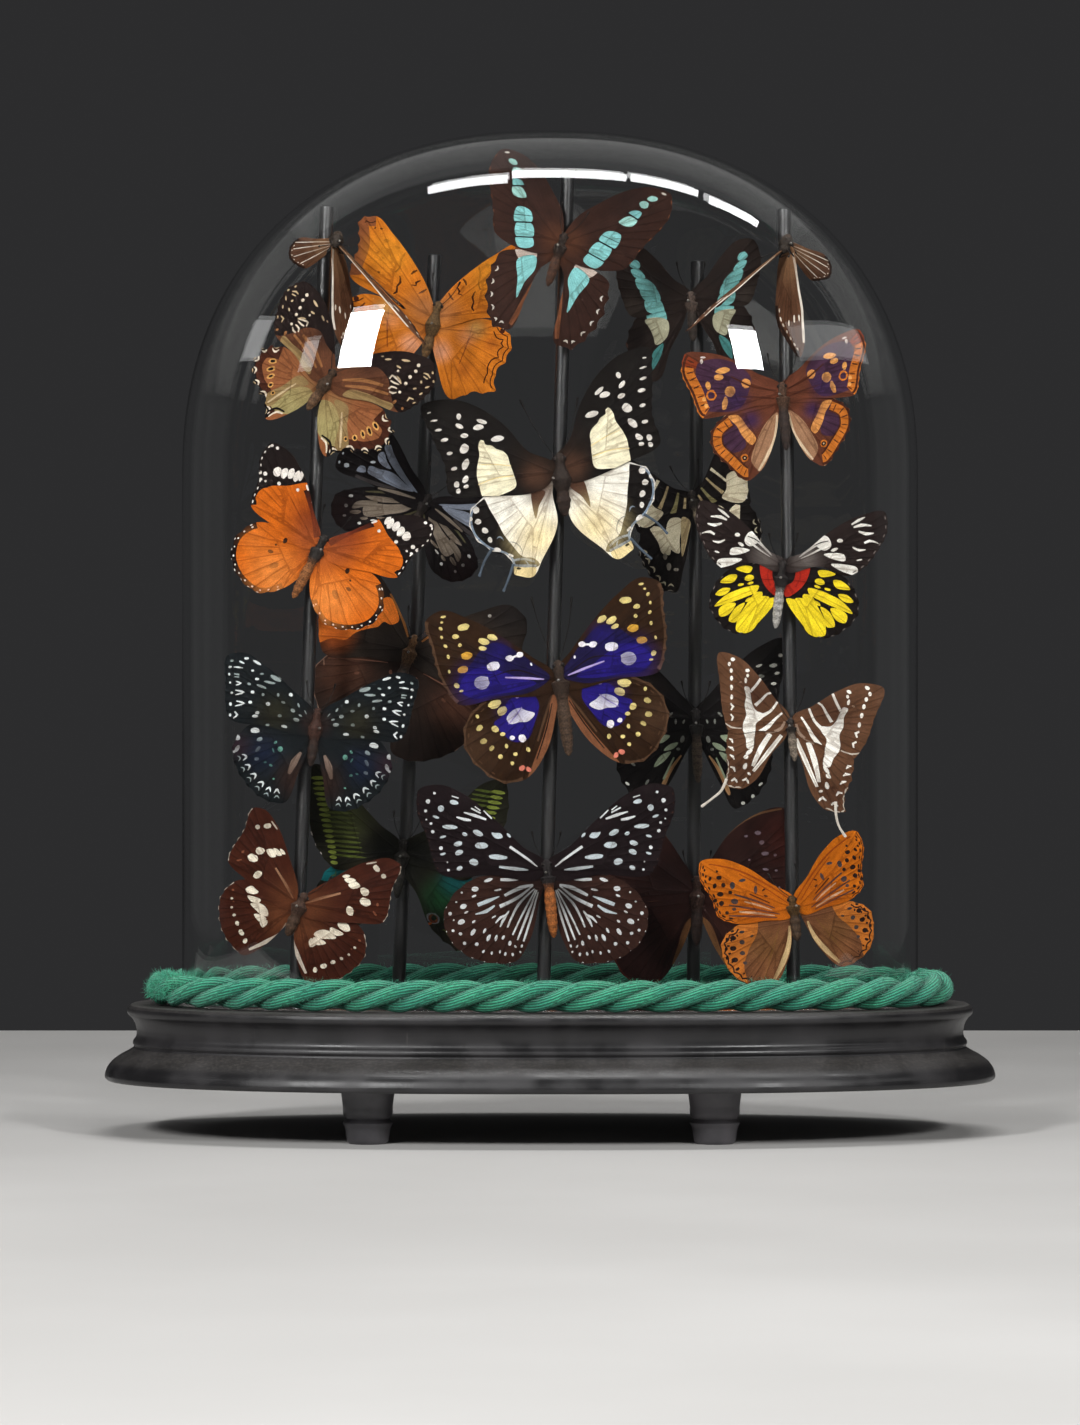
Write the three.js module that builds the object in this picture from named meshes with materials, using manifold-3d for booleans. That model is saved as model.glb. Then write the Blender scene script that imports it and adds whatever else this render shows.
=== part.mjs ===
// An oval glass dome on a black footed plinth, with butterflies pinned to five rods inside it.
// Millimetres, +Z up, the front towards -Y, the origin on the ground under the plinth's middle.
import * as THREE from "three";
import { mergeVertices } from "three/addons/utils/BufferGeometryUtils.js";
import Module from "manifold-3d";

const wasm = await Module();
wasm.setup();

// Driving dimensions
const GAP = 0.3; // air left between touching pieces
const OVAL_POWER = 2.4; // superellipse exponent of every oval outline, a little squarer than an ellipse
const OVAL_SIDES = 36;

const PLINTH_BOTTOM = 21.6;
const PLINTH_TOP = 51.3;
const LIP_HALF_WIDTH = 168.5;
const LIP_HALF_DEPTH = 88;
// Half width and height of each corner of the moulding, from the bottom up
const MOULDING = [
  [176.8, PLINTH_BOTTOM],
  [177.5, 24.5],
  [175, 29],
  [166.6, 34.5],
  [165.2, 40.5],
  [166, 45.5],
  [168.5, 47.6],
  [LIP_HALF_WIDTH, 50.4],
  [167.3, PLINTH_TOP],
];

const FOOT_SIDES = 10;
// Radius and height of each corner of a foot, from the ground up
const FOOT_PROFILE = [
  [7.6, 0],
  [8.6, 4],
  [8.8, 6.6],
  [9.8, 8.2],
  [8.8, 10],
  [9.6, 13],
  [10.7, PLINTH_BOTTOM - GAP],
];
const FEET = {
  foot_front_left: [-71, -60],
  foot_front_right: [64, -60],
  foot_back_left: [-74.5, 60],
  foot_back_right: [67.5, 60],
};

const DOME_HALF_WIDTH = 147;
const DOME_HALF_DEPTH = 66;
const GLASS = 2.6; // wall thickness
const DOME_BOTTOM = PLINTH_TOP + GAP;
const SHOULDER = 262; // height where the straight wall starts to close over
const DOME_TOP = 400.4;
const CROWN_POWER = 2.25;
const CROWN_STEPS = 7;

const ROPE_RADIUS = 6.3;
const ROPE_HALF_WIDTH = 155;
const ROPE_HALF_DEPTH = 74;
const ROPE_SIDES = 8;
const ROPE_STEPS = 48;

const ROD_RADIUS = 2.75;
const ROD_SIDES = 10;
const ROD_BOTTOM = PLINTH_TOP + 0.5;
// Each rod leans a little: foot [x, y], head [x, y] and the height of its head
const RODS = [
  { name: "rod_1", foot: [-100.8, -20], head: [-88.8, -9], top: 369 },
  { name: "rod_2", foot: [-61.4, 22], head: [-46.4, 20], top: 352 },
  { name: "rod_3", foot: [-2.8, -12], head: [7.1, -8], top: 382.5 },
  { name: "rod_4", foot: [57.8, 22], head: [59.4, 20], top: 349.5 },
  { name: "rod_5", foot: [96.3, -20], head: [93.1, -9], top: 368 },
];

const WING = 0.8; // wing thickness
const UNDERLAP = 0.5; // how far the hindwings sit behind the forewings
const STAND_OFF = 9; // thorax middle to rod axis
const BODY_SIDES = 6;
const ANTENNA = 14;
const ANTENNA_SPREAD = 0.42; // radians to each side of the head's direction
const PIN_RADIUS = 0.55;
const FINEST = 0.08; // detail smaller than this is dropped from a fused specimen

// Each specimen, seen from the front in millimetres from its thorax: x to the right, z up.
// fore and hind outline the wings of one side. tips are two points of that side, and far_tips are
// where the same points lie on the other side. lift is how far those four points come forward.
// body is head, tail and radius.
const SPECIMENS = [
  {
    "name": "brown_lacewing", "rod": 0, "at": [-89, 297.5],
    "fore": [[0, 3], [10, 9], [22, 12.5], [34, 12.5], [43, 8], [44, 1], [39, -6], [31, -11], [18, -7], [2, -2]],
    "hind": [[1, -2], [12, -5], [23, -10], [28, -18], [25, -25], [16, -28], [7, -27], [0.5, -28.5], [-3, -17],
      [-1, -5]],
    "tips": [[43, 8], [0.5, -28.5]], "far_tips": [[-9, 41], [-24, -13]], "lift": [4, 1, -3, -4],
    "body": [[4, 6], [-7, -10], 3],
  },
  {
    "name": "plain_tiger", "rod": 0, "at": [-91.5, 232],
    "fore": [[0, 3], [-2, 16], [-6, 30], [-13, 40], [-19, 42.5], [-23, 38], [-24, 28], [-27, 18], [-19, 10.5],
      [-2, 1]],
    "hind": [[-1, 2], [-14, 9], [-25, 11], [-33, 6], [-35.5, -2], [-32, -11], [-24, -17], [-14, -15], [-5, -8],
      [-1, -3]],
    "tips": [[-19, 42.5], [-24, -17]], "far_tips": [[45.5, 10], [2, -29]], "lift": [-2, -5, 3, 2],
    "body": [[3, 6], [-10, -19], 3],
  },
  {
    "name": "blue_cracker", "rod": 0, "at": [-92.5, 161.5],
    "fore": [[0, 5], [-9, 15], [-19, 24], [-29, 30], [-35, 29], [-36, 18], [-34, 4], [-20, 1], [-1, -1]],
    "hind": [[-1, 1], [-14, 2], [-27, 1], [-33, -6], [-32, -15], [-27, -23], [-19, -29], [-13, -29.5], [-7, -18],
      [-2, -5]],
    "tips": [[-35, 29], [-13, -29.5]], "far_tips": [[40, 19.5], [6, -32]], "lift": [-5, 1, 3, 2],
    "body": [[1, 8], [-2, -15], 3],
  },
  {
    "name": "white_banded_brown", "rod": 0, "at": [-99.5, 91.5],
    "fore": [[0, 3], [-3, 18], [-8, 31], [-14, 38], [-18, 38.5], [-22, 30], [-28, 17], [-22, 11], [-1, 0]],
    "hind": [[-1, 1], [-14, 9], [-26, 9], [-32, 3], [-32.5, -5], [-28, -16], [-23, -20], [-13, -15.5], [-6, -9],
      [-1, -3]],
    "tips": [[-18, 38.5], [-23, -20]], "far_tips": [[40.5, 16], [4, -30.5]], "lift": [-6, -9, 2, 1],
    "body": [[3, 5], [-4, -12], 3.4],
  },
  {
    "name": "orange_cruiser", "rod": 1, "at": [-47.5, 323.5],
    "fore": [[1, 5], [5, 11], [15, 20.5], [26, 28], [34, 32], [39, 29], [36, 18], [34, 5], [18, 2], [1, 0]],
    "hind": [[1, 2], [14, 2.5], [27, 0], [32.5, -6], [30, -15], [26, -20], [25.5, -27], [16, -28], [8, -30],
      [2, -16], [0, -5]],
    "tips": [[34, 32], [8, -30]], "far_tips": [[-22, 43], [-20, -23]], "lift": [0, 2, 3, 3],
    "body": [[3, 9], [-3, -14], 3.2],
  },
  {
    "name": "glassy_tiger", "rod": 1, "at": [-50, 251.5],
    "fore": [[0, 3], [-6, 15], [-13, 28], [-20, 36], [-27, 35], [-33, 24], [-36, 15], [-24, 9], [-1, 0]],
    "hind": [[0, 1], [-14, 6], [-28, 6.5], [-36, 4], [-38, -2], [-35, -9], [-28, -12], [-12, -8], [-1, -3]],
    "tips": [[-20, 36], [-38, -2]], "far_tips": [[41, 3], [17, -30]], "lift": [1, 3, 1, 3],
    "body": [[2, 4], [-8, -14], 2.6],
  },
  {
    "name": "leaf", "rod": 1, "at": [-56, 192],
    "fore": [[0, 4], [-4, 16], [-11, 29], [-20, 39], [-27, 38], [-33, 27], [-37, 10], [-35, 0], [-18, -2],
      [-1, -2]],
    "hind": [[-1, 0], [-18, -1], [-33, -1], [-39, -7], [-38, -20], [-33, -30], [-25, -37], [-19, -38], [-11, -24],
      [-2, -7]],
    "tips": [[-20, 39], [-19, -38]], "far_tips": [[41, 18.5], [-7, -41]], "lift": [2, 0, 3, 1],
    "body": [[2, 7], [-6, -18], 3.2],
  },
  {
    "name": "green_swallowtail", "rod": 1, "at": [-59.5, 110],
    "fore": [[0, 4], [-9, 13], [-19, 24], [-29, 35], [-35, 37], [-38, 30], [-37.5, 14], [-34, 3], [-27, -5],
      [-12, -3], [-1, -1]],
    "hind": [[-1, 1], [-14, 0], [-26, -2], [-33, -9], [-35, -19], [-33, -28], [-28, -34], [-21, -31], [-16, -27],
      [-8, -14], [-1, -5]],
    "tips": [[-35, 37], [-16, -27]], "far_tips": [[41, 31], [12, -29.5]], "lift": [2, 1, 3, 2],
    "body": [[1, 7], [-2, -17], 3.2],
  },
  {
    "name": "bluebottle_front", "rod": 2, "at": [4, 352.5],
    "fore": [[1, 4], [1, 13], [-3, 22], [-9, 32], [-16, 38], [-24, 39.5], [-27, 36], [-27, 15], [-26, 6],
      [-20, 1], [-1, -1]],
    "hind": [[-1, 0], [-14, -1], [-24, -2], [-29, -10], [-30, -24], [-27, -32], [-21, -33], [-14, -21], [-8, -9],
      [-2, -4]],
    "tips": [[-24, 39.5], [-27, -32]], "far_tips": [[44, 20], [4, -41.5]], "lift": [-12, 1, 1, 3],
    "body": [[2, 5], [-5, -16], 2.8],
  },
  {
    "name": "cream_nawab", "rod": 2, "at": [2, 260.5],
    "fore": [[0, 5], [-11, 11], [-20, 21], [-30, 28], [-42, 31.5], [-53, 29], [-49, 16], [-44, 5], [-42, -6],
      [-28, -7], [-1, 0]],
    "hind": [[-1, 1], [-15, -2], [-28, -7], [-34, -13], [-33, -22], [-27, -28], [-18, -32], [-16, -38],
      [-9, -39], [-5, -32], [1, -17], [-1, -6]],
    "tips": [[-53, 29], [-12, -39.5]], "far_tips": [[37, 52], [28, -31]], "lift": [-2, 3, -3, 2],
    "body": [[1.5, 10], [4, -15], 4],
    "tails": [[[-25, -28], [-30, -39]], [[-16.5, -34], [-20.5, -45]]],
  },
  {
    "name": "great_purple_emperor", "rod": 2, "at": [2.5, 180.5],
    "fore": [[0, 3], [6, 12], [14, 23], [24, 34], [34, 41], [41, 39], [43, 28], [44, 15], [41, 4], [26, 1],
      [1, -1]],
    "hind": [[1, 1], [16, 3], [30, 2], [41, -4], [45, -14], [42, -24], [35, -32], [27, -33], [14, -25], [6, -14],
      [1, -4]],
    "tips": [[41, 39], [27, -33]], "far_tips": [[-52, 23.5], [-13, -39.5]], "lift": [-2, 2, -3, 2],
    "body": [[0.5, 8], [5, -30], 3.8],
  },
  {
    "name": "blue_tiger", "rod": 2, "at": [-1.5, 104.5],
    "fore": [[0, 3], [9, 10], [20, 21], [32, 31], [42, 35], [50, 33], [51, 26], [47, 14], [42, 0], [22, -1],
      [1, -1]],
    "hind": [[1, 0], [14, -1], [27, -2], [36, -8], [40.5, -17], [38, -27], [30, -34], [20, -36.5], [12, -35.5],
      [7, -28], [3, -13]],
    "tips": [[50, 33], [12, -35.5]], "far_tips": [[-50.5, 32.5], [-12, -35.5]], "lift": [3, -2, 2, -2],
    "body": [[0, 5], [3, -26], 3.2],
  },
  {
    "name": "bluebottle_back", "rod": 3, "at": [56.5, 332.5],
    "fore": [[0, 3], [-7, 9], [-14, 17], [-21, 22], [-27, 21], [-30, 13], [-28, 2], [-24, -6], [-12, -4],
      [-1, -1]],
    "hind": [[-1, 0], [-13, -4], [-22, -7], [-26, -15], [-25, -24], [-19, -32], [-14, -32], [-8, -19], [-2, -6]],
    "tips": [[-27, 21], [-14, -32]], "far_tips": [[25, 25], [15, -27]], "lift": [2, 1, 0, 1],
    "body": [[0, 4], [1, -16], 2.8],
  },
  {
    "name": "zebra_swallowtail", "rod": 3, "at": [57.5, 253],
    "fore": [[0, 2], [-8, 5], [-18, 12], [-27, 17], [-32, 16], [-30, 5], [-25, -6], [-22, -13], [-10, -6],
      [-1, -2]],
    "hind": [[-1, -1], [-12, -6], [-21, -13], [-22, -22], [-18, -30], [-13, -36], [-7, -37], [-4, -28],
      [-1, -12]],
    "tips": [[-32, 16], [-10, -37]], "far_tips": [[17, 27], [25, -26]], "lift": [1, 2, 2, 1],
    "body": [[-1, 4], [4, -14], 2.6],
  },
  {
    "name": "black_crow", "rod": 3, "at": [58.5, 163.5],
    "fore": [[-1, 3], [6, 12], [16, 23], [26, 31], [35, 34], [37, 27], [34, 15], [32, 4], [16, 0], [0, -1]],
    "hind": [[0, 1], [16, 1], [27, -3], [31, -12], [29, -23], [23, -31], [16, -34.5], [10, -25], [4, -13],
      [0, -4]],
    "tips": [[35, 34], [16, -34.5]], "far_tips": [[-36, 33], [-17, -34]], "lift": [2, 1, 2, 1],
    "body": [[0, 6], [1, -24], 3],
  },
  {
    "name": "maroon_crow", "rod": 3, "at": [59, 94],
    "fore": [[0, 4], [6, 15], [14, 26], [24, 33], [34, 35.5], [39, 33], [39.5, 20], [37, 6], [34, -2], [18, -2],
      [1, -1]],
    "hind": [[1, 0], [18, -1], [32, -2], [38, -10], [38, -21], [33, -32], [23, -37], [17, -34], [9, -24],
      [3, -12], [0, -4]],
    "tips": [[39, 33], [23, -37]], "far_tips": [[-38, 33], [-20, -37]], "lift": [2, 2, 2, 2],
    "body": [[0, 8], [0, -20], 3.4],
  },
  {
    "name": "lesser_purple_emperor", "rod": 4, "at": [91.5, 293.5],
    "fore": [[0, 3], [-10, 8.5], [-20, 14], [-30, 16.5], [-38, 16], [-40, 10], [-36, 0], [-31, -9.5],
      [-26, -9], [-12, -5], [-1, -2]],
    "hind": [[-1, -1], [-12, -5], [-22, -8], [-28, -14], [-28, -21], [-22, -28], [-13, -34], [-9, -31],
      [-3, -19], [-1, -6]],
    "tips": [[-38, 16], [-13, -34]], "far_tips": [[31, 26], [17, -28]], "lift": [3, 2, -4, -2],
    "body": [[0, 5], [2, -22], 3],
  },
  {
    "name": "jezebel", "rod": 4, "at": [92, 221],
    "fore": [[0, 6], [8, 10], [18, 18], [30, 24.5], [41, 26], [42, 20], [38, 11], [31, 3], [27, 1], [14, 4.5],
      [1, 3]],
    "hind": [[1, 5], [14, 4], [25, 0], [30, -7], [30.5, -14], [26, -20], [18, -24], [12, -23.5], [5, -15],
      [0, -6]],
    "tips": [[41, 26], [14, -24]], "far_tips": [[-33, 30], [-16, -22.5]], "lift": [-7, -2, 3, 2],
    "body": [[0, 7], [-3, -20], 2.8],
  },
  {
    "name": "striped_swordtail", "rod": 4, "at": [94.5, 162.5],
    "fore": [[0, 3], [-6, 11], [-13, 20.5], [-20, 27], [-27.5, 29], [-27.5, 16], [-26, 3], [-24, -2], [-12, -2],
      [-1, -1]],
    "hind": [[-1, 1], [-13, -1], [-24, -2], [-25.5, -9], [-25, -18], [-26, -23], [-19, -25], [-14, -22],
      [-7, -11], [-1, -3]],
    "tips": [[-27, 29], [-19, -25]], "far_tips": [[36.5, 15.5], [14, -33]], "lift": [2, 3, -6, 2],
    "body": [[0, 3], [2, -14], 2.4],
    "tails": [[[-25, -21], [-30, -26.5], [-35, -32]]],
    "far_tails": [[[18, -30], [18, -37], [22, -44]]],
  },
  {
    "name": "orange_fritillary", "rod": 4, "at": [96.5, 91.5],
    "fore": [[0, 2], [-10, 9], [-20, 15.5], [-30, 18.5], [-37.5, 17], [-38, 12], [-33, 2], [-30, -5], [-24, -7],
      [-12, -6], [-1, -4]],
    "hind": [[-1, -3], [-13, -6], [-23, -8], [-29, -14], [-28, -22], [-24, -28], [-17, -31.5], [-8, -31],
      [-3, -22], [-1, -9]],
    "tips": [[-37.5, 17], [-8, -31]], "far_tips": [[25, 29], [19, -24.5]], "lift": [3, 2, -6, -6],
    "body": [[-1.5, 4], [1, -14], 3],
  },
];

// Two brown specimens lie tilted on the tops of the outer rods, with three wings seen nearly from
// their edges and the fourth folded out. Their outlines are one right side, laid flat, and each wing
// is hung by two of its points, given as [x, forward, z].
const BROWN_FORE = [[0, 3], [10, 13], [22, 23], [33, 28], [39, 26], [38, 14], [34, 3], [28, -1], [1, -1]];
const BROWN_HIND = [[1, 1], [16, 0], [30, -2], [35, -10], [33, -20], [25, -28], [16, -30], [7, -20], [1, -6]];
const FORE_TIPS = [[39, 26], [28, -1]];
const HIND_TIPS = [[16, -30], [35, -10]];
const TILTED = [
  {
    "name": "brown_top_left", "rod": 0, "at": [-85, 354], "body": [[0, 5, -2], [1, -6, 4], 3],
    "fore_ends": [[[36, 8, -40], [25, -5, -26]], [[3, 8, -41], [7, -7, -24]]],
    "hind_ends": [[[14, -9, -15], [26, -8, -27]], [[-13, -10, -10], [-19, -9, -1]]],
  },
  {
    "name": "brown_top_right", "rod": 4, "at": [94.5, 353], "body": [[-2, 4, -3], [0, -6, 4], 3],
    "fore_ends": [[[3, 8, -45], [-5, -6, -24]], [[-41, 8, -34], [-28, -5, -22]]],
    "hind_ends": [[[10, -10, -14], [18, -9, -8]], [[-18, -9, -13], [-29, -8, -23]]],
  },
];

const FINISHES = {
  glass: { color: 0xe8eeee, roughness: 0.05, metalness: 0, transparent: true, opacity: 0.3 },
  ebonised: { color: 0x1b1a1d, roughness: 0.5, metalness: 0 },
  rope: { color: 0x3f9c7d, roughness: 0.95, metalness: 0 },
  rod: { color: 0x101013, roughness: 0.3, metalness: 0 },
  brown_top_left: { color: 0x4a3a2e, roughness: 0.8, metalness: 0 },
  brown_lacewing: { color: 0x8a5a30, roughness: 0.8, metalness: 0 },
  plain_tiger: { color: 0xe07a26, roughness: 0.8, metalness: 0 },
  blue_cracker: { color: 0x1c2630, roughness: 0.7, metalness: 0 },
  white_banded_brown: { color: 0x4d2416, roughness: 0.8, metalness: 0 },
  orange_cruiser: { color: 0xc07a24, roughness: 0.8, metalness: 0 },
  glassy_tiger: { color: 0x53565e, roughness: 0.8, metalness: 0 },
  leaf: { color: 0x4a3a30, roughness: 0.8, metalness: 0 },
  green_swallowtail: { color: 0x3c4a20, roughness: 0.8, metalness: 0 },
  bluebottle_front: { color: 0x3d2b22, roughness: 0.8, metalness: 0 },
  cream_nawab: { color: 0xe9e6d0, roughness: 0.8, metalness: 0 },
  great_purple_emperor: { color: 0x3a2a60, roughness: 0.7, metalness: 0 },
  blue_tiger: { color: 0x2a1d1c, roughness: 0.8, metalness: 0 },
  bluebottle_back: { color: 0x34302c, roughness: 0.8, metalness: 0 },
  zebra_swallowtail: { color: 0x9a8a70, roughness: 0.8, metalness: 0 },
  black_crow: { color: 0x171615, roughness: 0.8, metalness: 0 },
  maroon_crow: { color: 0x2e1a18, roughness: 0.8, metalness: 0 },
  brown_top_right: { color: 0x5a3a22, roughness: 0.8, metalness: 0 },
  lesser_purple_emperor: { color: 0x8a5234, roughness: 0.8, metalness: 0 },
  jezebel: { color: 0xe8cf35, roughness: 0.8, metalness: 0 },
  striped_swordtail: { color: 0x6a4530, roughness: 0.8, metalness: 0 },
  orange_fritillary: { color: 0xd07a24, roughness: 0.8, metalness: 0 },
};

// Merges a geometry's shared vertices, drops its empty triangles and turns its faces outwards
function closed(geometry) {
  const bare = geometry.index ? geometry.toNonIndexed() : geometry.clone();
  bare.deleteAttribute("normal");
  bare.deleteAttribute("uv");
  const merged = mergeVertices(bare, 1e-3);
  const place = merged.attributes.position;
  const index = merged.index.array;
  const corner = [new THREE.Vector3(), new THREE.Vector3(), new THREE.Vector3()];
  const kept = [];
  let volume = 0;
  for (let i = 0; i < index.length; i += 3) {
    const [a, b, c] = [index[i], index[i + 1], index[i + 2]];
    if (a === b || b === c || c === a) continue;
    kept.push(a, b, c);
    corner.forEach((point, k) => point.fromBufferAttribute(place, index[i + k]));
    volume += corner[0].dot(corner[1].clone().cross(corner[2]));
  }
  if (volume < 0) kept.reverse();
  merged.setIndex(kept);
  return merged;
}

function toSolid(geometry) {
  const ready = closed(geometry);
  const vertProperties = new Float32Array(ready.attributes.position.array);
  const triVerts = new Uint32Array(ready.index.array);
  return new wasm.Manifold(new wasm.Mesh({ numProp: 3, vertProperties, triVerts }));
}

function fromSolid(solid) {
  const mesh = solid.getMesh();
  const geometry = new THREE.BufferGeometry();
  geometry.setAttribute("position", new THREE.BufferAttribute(new Float32Array(mesh.vertProperties), 3));
  geometry.setIndex(Array.from(mesh.triVerts));
  return geometry;
}

// A point of the oval with these half sizes, at an angle from +X
function ovalPoint(angle, halfWidth, halfDepth) {
  const squash = (value) => Math.sign(value) * Math.abs(value) ** (2 / OVAL_POWER);
  return [halfWidth * squash(Math.cos(angle)), halfDepth * squash(Math.sin(angle))];
}

// Turns a profile of [half width, height] into an oval solid. halfDepth gives the depth for a half width.
function ovalSolid(profile, halfDepth) {
  const lathe = new THREE.LatheGeometry(profile.map(([r, z]) => new THREE.Vector2(r, z)), OVAL_SIDES);
  const place = lathe.attributes.position;
  for (let i = 0; i < place.count; i++) {
    const radius = Math.hypot(place.getX(i), place.getZ(i));
    const angle = Math.atan2(place.getZ(i), place.getX(i));
    const [x, y] = ovalPoint(angle, radius, halfDepth(radius));
    place.setXYZ(i, x, y, place.getY(i));
  }
  return lathe;
}

function makePlinth() {
  const profile = [[0, PLINTH_BOTTOM], ...MOULDING, [0, PLINTH_TOP]];
  const margin = LIP_HALF_WIDTH - LIP_HALF_DEPTH;
  return closed(ovalSolid(profile, (halfWidth) => Math.max(0, halfWidth - margin)));
}

function makeFoot() {
  const profile = [[0, 0], ...FOOT_PROFILE, [0, PLINTH_BOTTOM - GAP]];
  const lathe = new THREE.LatheGeometry(profile.map(([r, z]) => new THREE.Vector2(r, z)), FOOT_SIDES);
  lathe.rotateX(Math.PI / 2);
  return closed(lathe);
}

// The dome's outside or, set in by the glass, its inside
function makeBell(inset, bottom) {
  const halfWidth = DOME_HALF_WIDTH - inset;
  const halfDepth = DOME_HALF_DEPTH - inset;
  const rise = DOME_TOP - inset - SHOULDER;
  const profile = [[0, bottom], [halfWidth, bottom]];
  for (let i = 0; i <= CROWN_STEPS; i++) {
    const angle = (i / CROWN_STEPS) * (Math.PI / 2);
    const across = i === CROWN_STEPS ? 0 : Math.cos(angle) ** (2 / CROWN_POWER);
    const up = Math.sin(angle) ** (2 / CROWN_POWER);
    profile.push([halfWidth * across, SHOULDER + rise * up]);
  }
  return toSolid(ovalSolid(profile, (r) => (r * halfDepth) / halfWidth));
}

function makeDome() {
  const below = 5; // the inside reaches past the rim, so that the cut leaves the bottom open
  return fromSolid(makeBell(0, DOME_BOTTOM).subtract(makeBell(GLASS, DOME_BOTTOM - below)));
}

function makeRope() {
  const ring = new THREE.TorusGeometry(ROPE_HALF_WIDTH, ROPE_RADIUS, ROPE_SIDES, ROPE_STEPS);
  const place = ring.attributes.position;
  const height = PLINTH_TOP + GAP + ROPE_RADIUS;
  const step = 0.001;
  for (let i = 0; i < place.count; i++) {
    const angle = Math.atan2(place.getY(i), place.getX(i));
    const out = Math.hypot(place.getX(i), place.getY(i)) - ROPE_HALF_WIDTH;
    const [x, y] = ovalPoint(angle, ROPE_HALF_WIDTH, ROPE_HALF_DEPTH);
    const [ahead, aheadY] = ovalPoint(angle + step, ROPE_HALF_WIDTH, ROPE_HALF_DEPTH);
    const [behind, behindY] = ovalPoint(angle - step, ROPE_HALF_WIDTH, ROPE_HALF_DEPTH);
    const outward = new THREE.Vector2(aheadY - behindY, behind - ahead).normalize();
    place.setXYZ(i, x + outward.x * out, y + outward.y * out, height + place.getZ(i));
  }
  return closed(ring);
}

// A straight bar from one point to another, with its own radius at each end
function makeBar(from, to, startRadius, endRadius, sides) {
  const along = new THREE.Vector3().subVectors(to, from);
  const bar = new THREE.CylinderGeometry(endRadius, startRadius, along.length(), sides);
  bar.applyQuaternion(new THREE.Quaternion().setFromUnitVectors(new THREE.Vector3(0, 1, 0), along.normalize()));
  return bar.translate((from.x + to.x) / 2, (from.y + to.y) / 2, (from.z + to.z) / 2);
}

function rodPoint(rod, height) {
  const share = (height - ROD_BOTTOM) / (rod.top - ROD_BOTTOM);
  const [x, y] = rod.foot.map((start, k) => start + (rod.head[k] - start) * share);
  return new THREE.Vector3(x, y, height);
}

function makeRod(rod) {
  return closed(makeBar(rodPoint(rod, ROD_BOTTOM), rodPoint(rod, rod.top), ROD_RADIUS, ROD_RADIUS, ROD_SIDES));
}

// A point seen from the front as [x, z], or [x, forward, z], becomes a point in space
function seen(point, forward = 0) {
  if (point.length === 3) return new THREE.Vector3(point[0], -point[1], point[2]);
  return new THREE.Vector3(point[0], -forward, point[1]);
}

// The linear map that takes two flat points to two points in space
function hanger([a, b], [endA, endB]) {
  const scale = 1 / (a[0] * b[1] - a[1] * b[0]);
  return ([u, v]) => {
    const shareA = (u * b[1] - v * b[0]) * scale;
    const shareB = (a[0] * v - a[1] * u) * scale;
    return new THREE.Vector3().addScaledVector(endA, shareA).addScaledVector(endB, shareB);
  };
}

// A thin flat wing: the outline extruded, then hung in space and set back along its normal
function makeWing(outline, hang, back) {
  const shape = new THREE.Shape(outline.map(([u, v]) => new THREE.Vector2(u, v)));
  const wing = new THREE.ExtrudeGeometry(shape, { depth: WING, bevelEnabled: false });
  const normal = hang([1, 0]).cross(hang([0, 1])).normalize();
  if (normal.y > 0) normal.negate();
  const place = wing.attributes.position;
  for (let i = 0; i < place.count; i++) {
    const at = hang([place.getX(i), place.getY(i)]);
    at.addScaledVector(normal, place.getZ(i) - WING / 2 - back);
    place.setXYZ(i, at.x, at.y, at.z);
  }
  return toSolid(wing);
}

// A thin tail of a hindwing: short bars from point to point
function makeTail(points) {
  const bars = points.slice(1).map((point, k) => makeBar(points[k], point, 0.8, 0.6, 4));
  return bars.map((bar) => toSolid(bar.translate(0, UNDERLAP, 0)));
}

function makeBody(head, tail, radius) {
  const along = new THREE.Vector3().subVectors(tail, head);
  const length = along.length();
  const thorax = Math.min(0.45, head.length() / length);
  const profile = [
    [0, 0],
    [radius * 0.6, length * thorax * 0.35],
    [radius, length * thorax],
    [radius * 0.6, length * (thorax + 0.17)],
    [radius * 0.75, length * (0.6 + 0.4 * thorax)],
    [0, length],
  ];
  const body = new THREE.LatheGeometry(profile.map(([r, h]) => new THREE.Vector2(r, h)), BODY_SIDES);
  body.applyQuaternion(new THREE.Quaternion().setFromUnitVectors(new THREE.Vector3(0, 1, 0), along.normalize()));
  return toSolid(body.translate(head.x, head.y, head.z));
}

// Antennae spread forward from the head, and the four walking legs are folded under the thorax
function makeLimbs(head, radius, under) {
  const ahead = head.clone().normalize();
  const across = under.clone().cross(ahead).normalize();
  const limbs = [];
  for (const side of [-1, 1]) {
    const way = ahead.clone().multiplyScalar(Math.cos(ANTENNA_SPREAD));
    way.addScaledVector(across, side * Math.sin(ANTENNA_SPREAD));
    const root = head.clone().multiplyScalar(0.7);
    const end = root.clone().addScaledVector(way, ANTENNA).addScaledVector(under, -3);
    limbs.push(makeBar(root, end, 0.45, 0.45, 3));
    for (const share of [0, 0.5]) {
      const hip = head.clone().multiplyScalar(share);
      const knee = hip.clone().addScaledVector(across, side * radius * 1.1);
      limbs.push(makeBar(hip, knee.addScaledVector(under, radius + 1.2), 0.6, 0.4, 3));
    }
  }
  return limbs.map(toSolid);
}

// The pin runs from the thorax to just short of its rod
function makePin(thorax, rod) {
  const target = rodPoint(rod, thorax.z).sub(thorax);
  const reach = target.length() - ROD_RADIUS - GAP;
  return toSolid(makeBar(new THREE.Vector3(), target.setLength(reach), PIN_RADIUS, PIN_RADIUS, 4));
}

function thoraxPlace({ rod, at: [x, z] }) {
  return new THREE.Vector3(x, rodPoint(RODS[rod], z).y - STAND_OFF, z);
}

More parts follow.
